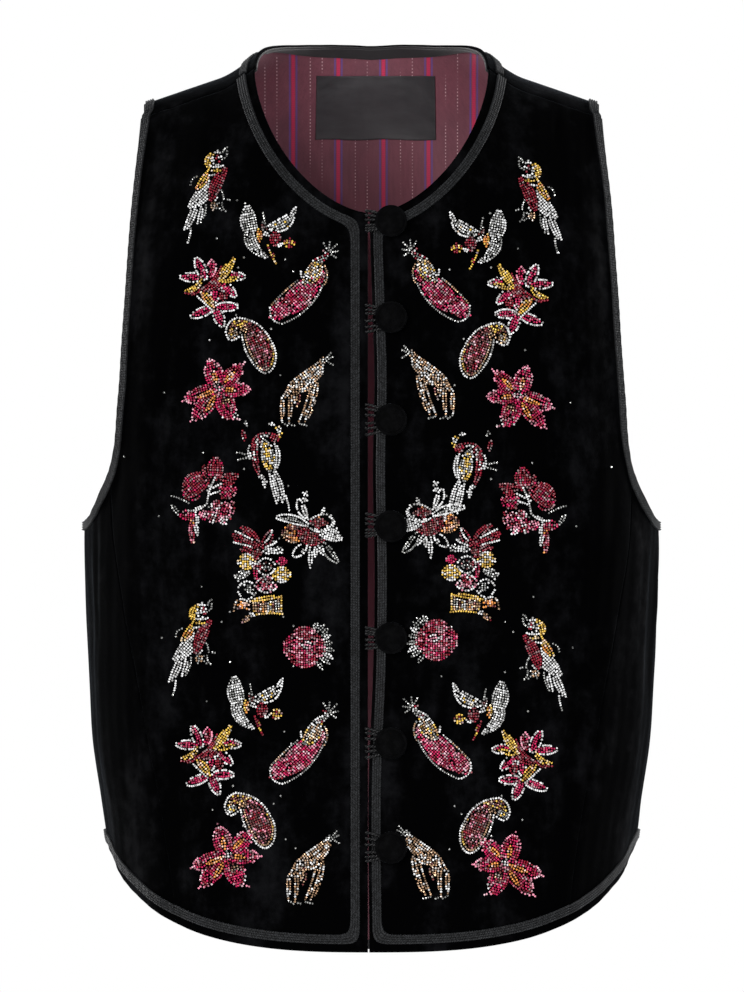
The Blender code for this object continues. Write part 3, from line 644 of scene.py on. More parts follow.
def ring_index(rows, sides, start=0):
    """Vertex numbers of a stack of rings, with the first column again at the end to close it."""
    index = start + np.arange(rows * sides).reshape(rows, sides)
    return np.concatenate([index, index[:, :1]], axis=1)


def full_turn(sides):
    """Angles of a full turn in as many equal steps."""
    return np.arange(sides) / sides * 2 * math.pi


def round_about(angle, side, up):
    """Directions at angles round an axis, from two that are square to it."""
    return np.cos(angle)[:, None] * side + np.sin(angle)[:, None] * up


def beside(centre):
    """Two directions square to a line at each of its points."""
    ahead = unit(np.gradient(centre, axis=0))
    side = unit(np.cross(ahead, (0.3, -1.0, 0.2)))
    return side, np.cross(side, ahead)


def length_along(points):
    """Length of a line up to each of its points."""
    steps = np.linalg.norm(np.diff(points, axis=0), axis=1)
    return np.concatenate([[0], np.cumsum(steps)])


def pairs(rows, columns):
    """Every row value with every column value."""
    return np.stack(np.broadcast_arrays(rows[:, None], columns[None, :]), axis=-1).reshape(-1, 2)


def face_out(mesh, merged=False):
    """Turn a closed mesh's faces outwards, with the points that meet made one first if asked."""
    work = bmesh.new()
    work.from_mesh(mesh)
    if merged:
        bmesh.ops.remove_doubles(work, verts=work.verts, dist=1e-7)
    bmesh.ops.recalc_face_normals(work, faces=work.faces)
    work.to_mesh(mesh)
    work.free()


def quads(index):
    """Faces of a grid of vertex numbers, facing the way that its rows cross its columns."""
    corners = (index[:-1, :-1], index[:-1, 1:], index[1:, 1:], index[1:, :-1])
    return np.stack(corners, axis=-1).reshape(-1, 4)


def rim_steps(count, near, far):
    """Grid positions with three more at each rim, and the share of the wall's thickness there.

    A rim is a quarter turn each way: at the angle a from its edge the cloth is in by
    rim * (1 - cos a) and has sin a of its thickness. near and far are the rims' widths in
    grid steps.
    """
    angle = np.radians((0, 30, 60, 90))
    start = near * (1 - np.cos(angle))
    end = count - 1 - far * (1 - np.cos(angle[::-1]))
    places = np.concatenate([start, np.arange(1, count - 1), end])
    thick = np.concatenate([np.sin(angle), np.ones(count - 2), np.sin(angle[::-1])])
    return places, thick


def between(grid, rows, columns):
    """A grid's values at fractional rows and columns, by straight steps both ways."""
    low = np.clip(rows.astype(int), 0, grid.shape[0] - 2)
    part = (rows - low)[:, None]
    grid = grid[low] * (1 - part) + grid[low + 1] * part
    low = np.clip(columns.astype(int), 0, grid.shape[1] - 2)
    part = (columns - low)[None, :]
    return grid[:, low] * (1 - part) + grid[:, low + 1] * part


def rim_share(points, rim):
    """Width of a rim in grid steps at the four edges: first and last row, first and last column."""
    def step(a, b):
        return min(0.8, rim / np.median(np.linalg.norm(a - b, axis=-1)))
    return (step(points[0], points[1]), step(points[-1], points[-2]),
            step(points[:, 0], points[:, 1]), step(points[:, -1], points[:, -2]))


def shell(name, chart, first, second, outside, inside, lift=0.0, wall=WALL, rim=RIM):
    """A cloth wall on the torso surface with rolled edges: middle +- wall / 2 * thickness share."""
    points, _ = place(chart, first, second)
    first, second = np.broadcast_arrays(first, second)
    top, bottom, left, right = rim_share(points, rim)
    rows, row_thick = rim_steps(points.shape[0], top, bottom)
    columns, column_thick = rim_steps(points.shape[1], left, right)
    points, normals = place(chart, between(first, rows, columns), between(second, rows, columns))
    half = wall / 2 * (row_thick[:, None] * column_thick[None, :])[..., None]
    middle = points + normals * (lift - wall / 2)
    count = points.shape[0] * points.shape[1]
    outer = np.arange(count).reshape(points.shape[:2])
    inner = outer.copy()
    held_in = inner[1:-1, 1:-1]
    inner[1:-1, 1:-1] = count + np.arange(held_in.size).reshape(held_in.shape)
    vertices = np.concatenate([(middle + normals * half).reshape(-1, 3),
                               (middle - normals * half)[1:-1, 1:-1].reshape(-1, 3)])
    step = np.diff(middle, axis=1)
    flat_part = np.abs(middle[:, 1:, 0]) < FLAT_HALF
    across = np.where(flat_part, np.abs(step[..., 0]), np.linalg.norm(step, axis=-1))
    u = np.concatenate([np.zeros((len(across), 1)), np.cumsum(across, axis=1)], axis=1)
    u = u - u[:, u.shape[1] // 2][:, None]
    v = np.broadcast_to(middle[..., 2], u.shape)
    uv = np.stack([u, v], axis=-1)
    uv = np.concatenate([uv.reshape(-1, 2), uv[1:-1, 1:-1].reshape(-1, 2)])
    faces = np.concatenate([quads(outer), quads(inner)[:, ::-1]])
    mesh = mesh_of(name, vertices, faces)
    lined = np.zeros((outer.shape[0] - 1, outer.shape[1] - 1), np.int32)
    lined[RIM_ROWS:-RIM_ROWS, RIM_ROWS:-RIM_ROWS] = 1
    mesh.polygons.foreach_set("material_index", np.concatenate([0 * lined.ravel(), lined.ravel()]))
    set_uv(mesh, uv)
    return link(name, mesh, outside, inside)


def braid_section(steps=5):
    """Across share and height share of a braid's outline: a scallop for each row, a flat underside."""
    across = np.linspace(0, 1, BRAID_ROWS * steps + 1)
    height = 0.42 + 0.58 * np.abs(np.sin(math.pi * BRAID_ROWS * across)) ** 0.6
    height[[0, -1]] = 0.12
    return np.concatenate([across, (1, 0.5, 0)]), np.concatenate([height, (0, 0, 0)])


def ribbon(name, strips, material, loop=False):
    """A ribbed braid between two strips of surface points and normals."""
    (near, near_normals), (far, far_normals) = strips
    across, height = braid_section()
    along = length_along(near + far) / 2
    grain = 1 + 0.10 * np.sin(along * 2 * math.pi / BRAID_GRAIN)[:, None]
    level = BRAID_LIFT + BRAID_HEIGHT * height[None, :] * grain
    share = across[None, :, None]
    points = near[:, None] * (1 - share) + far[:, None] * share
    normals = near_normals[:, None] * (1 - share) + far_normals[:, None] * share
    points = points + normals * level[..., None]
    rows, columns = level.shape
    index = ring_index(rows, columns)
    if loop:
        index = np.concatenate([index, index[:1]], axis=0)
    faces = quads(index)
    vertices = points.reshape(-1, 3)
    uv = pairs(along, across * BRAID_WIDTH)
    if not loop:
        ends = [points[0].mean(axis=0), points[-1].mean(axis=0)]
        vertices = np.concatenate([vertices, ends])
        uv = np.concatenate([uv, [(0, 0), (along[-1], 0)]])
        start, end = index[0], index[-1]
        caps = [(rows * columns, k, n, n) for k, n in zip(start[1:], start[:-1])]
        caps += [(rows * columns + 1, k, n, n) for k, n in zip(end[:-1], end[1:])]
        mesh = bpy.data.meshes.new(name)
        mesh.from_pydata(vertices.tolist(), [], faces.tolist() + [cap[:3] for cap in caps])
    else:
        mesh = mesh_of(name, vertices, faces)
    face_out(mesh)
    set_uv(mesh, uv)
    return link(name, mesh, material)


def edge_strips(parts, distances):
    """Two parallel strips along a path given as chart, first and second for each stretch."""
    strips = []
    for distance in distances:
        placed = [place(chart, *side_step(chart, first, second, distance))
                  for chart, first, second in parts]
        strips.append([np.concatenate([part[k] for part in placed]) for k in range(2)])
    return strips


def front_braid(name, side, material):
    """Braid along one front: its two edges are insets of the panel's own edge."""
    lines = [front_edge_path(side, inset) for inset in BRAID_LINES]
    return ribbon(name, [place(over_shoulder, *on_front(x, z)) for x, z in lines], material)


def armhole_braid(name, side, material):
    """Braid round one armhole, set in from its edge."""
    insets = (-side * ARMHOLE_INSET, -side * (ARMHOLE_INSET + BRAID_WIDTH))
    return ribbon(name, edge_strips(armhole_parts(side), insets), material, loop=True)


def back_hem_braid(name, material, count=560):
    """Braid along the hem of both sides and the back."""
    first = girth_of(SEAM_FOOT, hem_height(SEAM_FOOT))
    girth = np.linspace(first, 360 - first, count)
    girth = np.where(girth > 180, girth - 360, girth)
    z = hem_at_girth(girth)
    x, y, _ = round_side(girth, z)[0].T
    lines = [above_hem(x, z, y, inset) for inset in BRAID_LINES]
    return ribbon(name, [place(round_side, girth, line) for line in lines], material)


class Val:
    """A shader socket that can be reckoned with: each operator adds one Math node."""

    def __init__(self, tree, socket):
        self.tree = tree
        self.socket = socket

    def node(self, kind, settings=(), out=0, **inputs):
        """Any other node: its type, its settings, then its inputs by name."""
        made = self.tree.nodes.new("ShaderNode" + kind)
        for name, value in dict(settings).items():
            setattr(made, name, value)
        for name, value in inputs.items():
            by_number = name.startswith("in") and name[2:].isdigit()
            key = int(name[2:]) if by_number else name.replace("_", " ")
            self.feed(made.inputs[key], value)
        return Val(self.tree, made.outputs[out])

    def feed(self, plug, value):
        """Link a shader value to a plug, or set the plug to an even value."""
        if isinstance(value, Val):
            self.tree.links.new(value.socket, plug)
        else:
            plug.default_value = value

    def maths(self, how, *others):
        inputs = {f"in{k}": value for k, value in enumerate((self, *others))}
        return self.node("Math", {"operation": how}, **inputs)

    def __add__(self, other):
        return self.maths("ADD", other)

    __radd__ = __add__

    def __mul__(self, other):
        return self.maths("MULTIPLY", other)

    __rmul__ = __mul__

    def __sub__(self, other):
        return self.maths("SUBTRACT", other)

    def __rsub__(self, other):
        return (self * -1.0).maths("ADD", other)

    def __pow__(self, other):
        return self.maths("POWER", other)

    def wave(self, period):
        """A sine of 0 to 1 with that period."""
        return self.maths("MULTIPLY", 2 * math.pi / period).maths("SINE") * 0.5 + 0.5

    def between(self, low, high):
        """0 below low, 1 above high."""
        return self.node("MapRange", {"interpolation_type": "SMOOTHSTEP"},
                         Value=self, From_Min=low, From_Max=high)

    def line(self, middle, half_width, period=None):
        """1 within half_width of the middle, soft at its edges, once or once each period."""
        away = self - middle
        if period:
            away = (away * (1 / period)).maths("ADD", 0.5).maths("FRACT") * period - period / 2
        return 1.0 - away.maths("ABSOLUTE").between(half_width * 0.6, half_width * 1.4)

    def noise(self, scale, detail=3.0, roughness=0.5):
        return self.node("TexNoise", Vector=self, Scale=scale, Detail=detail, Roughness=roughness)

    def mixed(self, colour, other):
        """A colour mix: this value from 0 to 1 goes from the first colour to the other."""
        made = self.tree.nodes.new("ShaderNodeMix")
        made.data_type = "RGBA"
        self.feed(made.inputs["Factor"], self)
        for plug, value in ((made.inputs[6], colour), (made.inputs[7], other)):
            self.feed(plug, value if isinstance(value, Val) else (*value, 1.0))
        return Val(self.tree, made.outputs[2])


def start_material(name, colour, roughness, **settings):
    """A Principled material with its even values set, its shader and its Object coordinates."""
    material = bpy.data.materials.new(name)
    material.use_nodes = True
    tree = material.node_tree
    shader = tree.nodes["Principled BSDF"]
    shader.inputs["Base Color"].default_value = (*colour, 1.0)
    shader.inputs["Roughness"].default_value = roughness
    for key, value in settings.items():
        plug = shader.inputs[key.replace("_", " ")]
        plug.default_value = (*value, 1.0) if isinstance(value, tuple) else value
    coordinates = tree.nodes.new("ShaderNodeTexCoord")
    where = Val(tree, coordinates.outputs["Object"])
    where.uv = Val(tree, coordinates.outputs["UV"])
    return material, shader, where


def uv_pair(where):
    """The two coordinates of a piece's own UV map."""
    split = where.node("SeparateXYZ", in0=where.uv)
    return split, Val(split.tree, split.socket.node.outputs[1])


def join(shader, name, value):
    value.tree.links.new(value.socket, shader.inputs[name])


def vary(shader, colour, roughness, height, distance, strength):
    """Varying colour and roughness, and a relief from a height of 0 to 1 worth distance metres."""
    join(shader, "Base Color", colour)
    join(shader, "Roughness", roughness)
    join(shader, "Normal", height.node("Bump", Height=height, Distance=distance, Strength=strength))


def stretched(where, sx, sy, sz):
    """Coordinates drawn out along the axes that have a low factor."""
    return where.node("Mapping", in0=where, Scale=(sx, sy, sz))


def velvet_material():
    """Near-black cotton velvet: faint sheen on a matt pile, with brushed and crushed patches that are
    lighter in base colour as painted sheen of the crushed pile.
    """
    material, shader, where = start_material(
        "velvet", (0.0010, 0.0010, 0.0013), 0.9, Specular_IOR_Level=0.012,
        Sheen_Weight=0.055, Sheen_Roughness=0.24, Sheen_Tint=(0.62, 0.72, 0.85))
    brushed = stretched(where, 1.0, 1.0, 0.30).noise(26.0, 4.0, 0.6)
    crushed = where.noise(70.0, 3.0, 0.7)
    pile = where.noise(2600.0, 2.0, 0.6)
    crushed_pile_and_painted_sheen = (brushed * 0.65 + crushed * 0.35).between(0.47, 0.72)
    # Lighter base colour on the brushed and crushed patches: painted sheen where the pile catches the
    # light
    colour = crushed_pile_and_painted_sheen.mixed((0.0003, 0.0003, 0.0004), (0.0044, 0.0045, 0.0052))
    height = brushed * 1.1 + crushed * 0.5 + pile * 0.35
    vary(shader, colour, 0.95 - crushed_pile_and_painted_sheen * 0.30, height, 1.2 * MM, 0.5)
    return material


def button_material():
    """The same velvet drawn over the buttons, shorter and softer."""
    material, shader, where = start_material(
        "button_velvet", (0.0012, 0.0012, 0.0014), 0.8, Specular_IOR_Level=0.03,
        Sheen_Weight=0.03, Sheen_Roughness=0.3, Sheen_Tint=(0.6, 0.68, 0.78))
    pile = where.noise(2400.0, 3.0, 0.7)
    soft = where.noise(180.0, 3.0, 0.6)
    colour = soft.between(0.4, 0.65).mixed((0.0004, 0.0004, 0.0005), (0.0012, 0.0012, 0.0014))
    vary(shader, colour, 0.85 - soft * 0.25, pile * 0.6 + soft, 0.5 * MM, 0.5)
    return material


def braid_material():
    """Matt charcoal braid: each row has slanting ribs that turn at the row's middle, painted lighter on
    their crests and darker between them and in the grooves between rows as shade.
    """
    material, shader, where = start_material(
        "braid", (0.006, 0.006, 0.007), 0.5, Specular_IOR_Level=0.22,
        Sheen_Weight=0.04, Sheen_Roughness=0.4, Sheen_Tint=(0.7, 0.74, 0.8))
    along, across = uv_pair(where)
    row = BRAID_WIDTH / BRAID_ROWS
    side = (across * (1 / row)).maths("FRACT") - 0.5
    rib = (along + side.maths("ABSOLUTE") * 1.6 * MM).wave(1.7 * MM)
    groove_with_painted_shade = side.maths("ABSOLUTE").between(0.36, 0.5)
    worn = where.noise(60.0, 2.0, 0.5)
    speck = where.noise(520.0, 2.0, 0.7).between(0.44, 0.62)
    # Painted shade: darker in the gaps between ribs and in the grooves between rows, lighter on the rib
    # crests
    shade = (rib * 0.45 + speck * 0.55) * (0.55 + worn * 0.9) * (1.0 - groove_with_painted_shade * 0.75)
    colour = shade.mixed((0.0006, 0.0006, 0.0007), (0.0235, 0.0245, 0.0265))
    vary(shader, colour, 0.72 - rib * 0.22, rib * (1.0 - groove_with_painted_shade), 0.4 * MM, 0.8)
    return material


def cord_material():
    """Shiny black rayon cord of fine strands."""
    material, shader, where = start_material(
        "cord", (0.004, 0.004, 0.005), 0.42, Specular_IOR_Level=0.3)
    along, across = uv_pair(where)
    strand = (along * 900.0 + across * 6.0 * math.pi).maths("SINE") * 0.5 + 0.5
    colour = strand.mixed((0.0008, 0.0008, 0.001), (0.0042, 0.0042, 0.005))
    vary(shader, colour, 0.5 - strand * 0.2, strand, 0.12 * MM, 0.7)
    return material


def lining_material():
    """Dusty burgundy twill with fine bright and violet stripes at one pitch."""
    material, shader, where = start_material(
        "lining", (0.10, 0.028, 0.040), 0.55, Specular_IOR_Level=0.35,
        Sheen_Weight=0.12, Sheen_Roughness=0.4, Sheen_Tint=(0.8, 0.6, 0.66))
    across, up = uv_pair(where)
    twill = (across + up).wave(0.85 * MM)
    slub = stretched(where, 1.0, 1.0, 0.12).noise(420.0, 3.0, 0.6)
    cloudy = where.noise(22.0, 3.0, 0.5)
    base = (twill * 0.45 + slub * 0.55).mixed((0.092, 0.026, 0.039), (0.235, 0.076, 0.101))
    base = (cloudy.between(0.35, 0.75) * 0.45).mixed(base, (0.062, 0.026, 0.036))
    pitch = 29.6 * MM
    start = 7.8 * MM
    weave = up.wave(1.2 * MM) * 0.35 + 0.65
    red = across.line(start, 1.15 * MM, pitch) * weave
    violet = (across.line(start - 2.2 * MM, 0.55 * MM, pitch)
              + across.line(start + 2.2 * MM, 0.55 * MM, pitch))
    dots = up.wave(2.2 * MM).between(0.45, 0.75) * where.noise(40.0, 2.0, 0.5).between(0.40, 0.60)
    pale = (across.line(start - 18.4 * MM, 0.32 * MM, pitch)
            + across.line(start - 10.6 * MM, 0.32 * MM, pitch)) * dots
    base = (red * 0.9).mixed(base, (0.56, 0.018, 0.085))
    base = (violet.maths("MINIMUM", 1.0) * weave * 0.8).mixed(base, (0.110, 0.060, 0.270))
    base = (pale * 0.75).mixed(base, (0.62, 0.42, 0.44))
    vary(shader, base, 0.66 - twill * 0.16, twill * 0.6 + slub * 0.8, 0.25 * MM, 0.6)
    return material


def satin_material():
    """Plain black satin of the label, with soft streaks along its weft."""
    material, shader, where = start_material(
        "satin", (0.012, 0.011, 0.012), 0.34, Specular_IOR_Level=0.5, Anisotropic=0.4)
    weft = uv_pair(where)[1].wave(0.5 * MM)
    soft = stretched(where, 0.3, 1.0, 1.0).noise(160.0, 3.0, 0.6)
    colour = soft.mixed((0.013, 0.0125, 0.014), (0.040, 0.038, 0.041))
    vary(shader, colour, 0.30 + soft * 0.22, weft * 0.4 + soft, 0.2 * MM, 0.5)
    return material


def facing_material():
    """Plain dark ribbon of the neck facing."""
    material, shader, where = start_material(
        "facing", (0.012, 0.010, 0.012), 0.6, Sheen_Weight=0.2, Sheen_Roughness=0.4)
    rib = uv_pair(where)[0].wave(0.7 * MM)
    cloudy = where.noise(60.0, 3.0, 0.6)
    colour = (rib * 0.4 + cloudy * 0.6).mixed((0.003, 0.0025, 0.003), (0.015, 0.0125, 0.0145))
    vary(shader, colour, 0.75 - rib * 0.2, rib, 0.2 * MM, 0.6)
    return material


def bead_material(name, colour, roughness, metallic):
    """Glass or metal-lined seed bead: each has its own depth between a dark and a light copy of its
    colour, partly its own tone and partly painted light and shade, and some have a painted glint, a pale
    colour in their base colour.
    """
    material, shader, where = start_material(
        name, colour, roughness, Metallic=metallic, Specular_IOR_Level=0.35, Coat_Weight=0.2,
        Coat_Roughness=0.12)
    depth, glint = uv_pair(where)
    # Dark and light copies of the bead's colour: each bead's depth mixes them, partly its own tone and
    # partly painted light and shade
    dark = tuple(0.30 * c for c in colour)
    light = tuple(min(0.95, 1.45 * c + 0.01) for c in colour)
    # Pale colour of the painted glints: painted highlights on a random share of the beads
    pale = tuple(0.4 * c + 0.6 * max(colour) + 0.08 for c in colour)
    each = (depth ** 0.8).mixed(dark, light)
    join(shader, "Base Color", (glint.between(0.70, 0.93) * 0.8).mixed(each, pale))
    join(shader, "Roughness", roughness * (1.2 - depth * 0.4))
    return material


def button_seat(height):
    """Point and normal of the right front under a button."""
    points, normals = place(over_shoulder, *on_front(np.array([BUTTON_X]), np.array([height])))
    return points[0], normals[0]


def button(name, height, material):
    """A covered button: rings turned about the seat's normal, with the cover drawn in behind the rim."""
    seat, normal = button_seat(height)
    right = unit(np.cross(normal, (0, 0, 1)))
    right = right if right[0] > 0 else -right
    up = np.cross(normal, right)
    on_braid = height > NECK_POINT - BRAID_LINES[1]
    foot = SHANK_GAP + (BRAID_LIFT + BRAID_HEIGHT if on_braid else 0)
    under = LAYER_GAP + SHANK_LENGTH
    crown = under + BUTTON_RIM
    r = BUTTON_RADIUS
    profile = [(0.001 * r, foot), (SHANK_RADIUS, foot), (SHANK_RADIUS, under),
               (0.40 * r, under - 0.2 * MM), (0.78 * r, under), (0.95 * r, under + 0.12 * BUTTON_RIM),
               (r, under + 0.5 * BUTTON_RIM), (0.985 * r, under + 0.82 * BUTTON_RIM)]
    profile += [(share * r, crown + rise * BUTTON_DOME) for share, rise in BUTTON_COVER]
    angle = full_turn(BUTTON_SIDES)
    radius = np.array([row[0] for row in profile])[:, None]
    level = np.array([row[1] for row in profile])[:, None]
    pucker = np.where(level < under + 0.2 * MM, 0.15 * MM, 0.04 * MM) * np.sin(14 * angle + 40 * height)
    level = level + pucker * (radius > 0.3 * r)
    points = seat + radius[..., None] * round_about(angle, right, up) + level[..., None] * normal
    index = ring_index(len(profile), BUTTON_SIDES)
    mesh = mesh_of(name, points.reshape(-1, 3), quads(index))
    face_out(mesh, merged=True)
    return link(name, mesh, material)


def tubes(name, centres, radius, material, sides=6):
    """Closed tubes of one radius along rows of centre lines, in one piece."""
    points, faces, uv = [], [], []
    angle = full_turn(sides)
    start = 0
    for centre in centres:
        side, out = beside(centre)
        size = radius * np.ones(len(centre))
        size[[0, -1]] = 0.25 * radius
        ring = np.cos(angle)[None, :, None] * side[:, None] + np.sin(angle)[None, :, None] * out[:, None]
        points.append((centre[:, None] + size[:, None, None] * ring).reshape(-1, 3))
        uv.append(pairs(length_along(centre), angle / (2 * math.pi)))
        index = ring_index(len(centre), sides, start)
        faces += quads(index).tolist()
        faces += [index[0, :-1][::-1].tolist(), index[-1, :-1].tolist()]
        start += len(centre) * sides
    mesh = bpy.data.meshes.new(name)
    mesh.from_pydata(np.concatenate(points).tolist(), [], faces)
    set_uv(mesh, np.concatenate(uv))
    face_out(mesh)
    return link(name, mesh, material)


# Beadwork. Kinds of bead: base colour, roughness, metallic
BEADS = {
    "white": ((0.78, 0.75, 0.72), 0.22, 0.0),
    "silver": ((0.42, 0.42, 0.4), 0.25, 0.8),
    "gold": ((0.8, 0.42, 0.06), 0.25, 0.15),
    "orange": ((0.86, 0.25, 0.05), 0.30, 0.0),
    "bronze": ((0.5, 0.31, 0.18), 0.26, 0.7),
    "magenta": ((0.43, 0.003, 0.066), 0.28, 0.0),
    "crimson": ((0.2, 0.001, 0.014), 0.28, 0.0),
    "pink": ((0.7, 0.22, 0.31), 0.26, 0.0),
    "brown": ((0.13, 0.03, 0.028), 0.25, 0.3),
}
BEAD_RADIUS = 0.76 * MM
BEAD_STEP = 2.50
BEAD_LANE = 2.40
BEAD_NEAR = 1.85
BEAD_STRAY = 0.18
BEAD_TILT = 0.45
BEAD_SIZES = (0.88, 1.06)
BEAD_SEAT = 0.72
BEAD_RING = 0.92
BEAD_LEVEL = 0.42
BEAD_POLE = 0.86
LEAF_POWER = 0.55

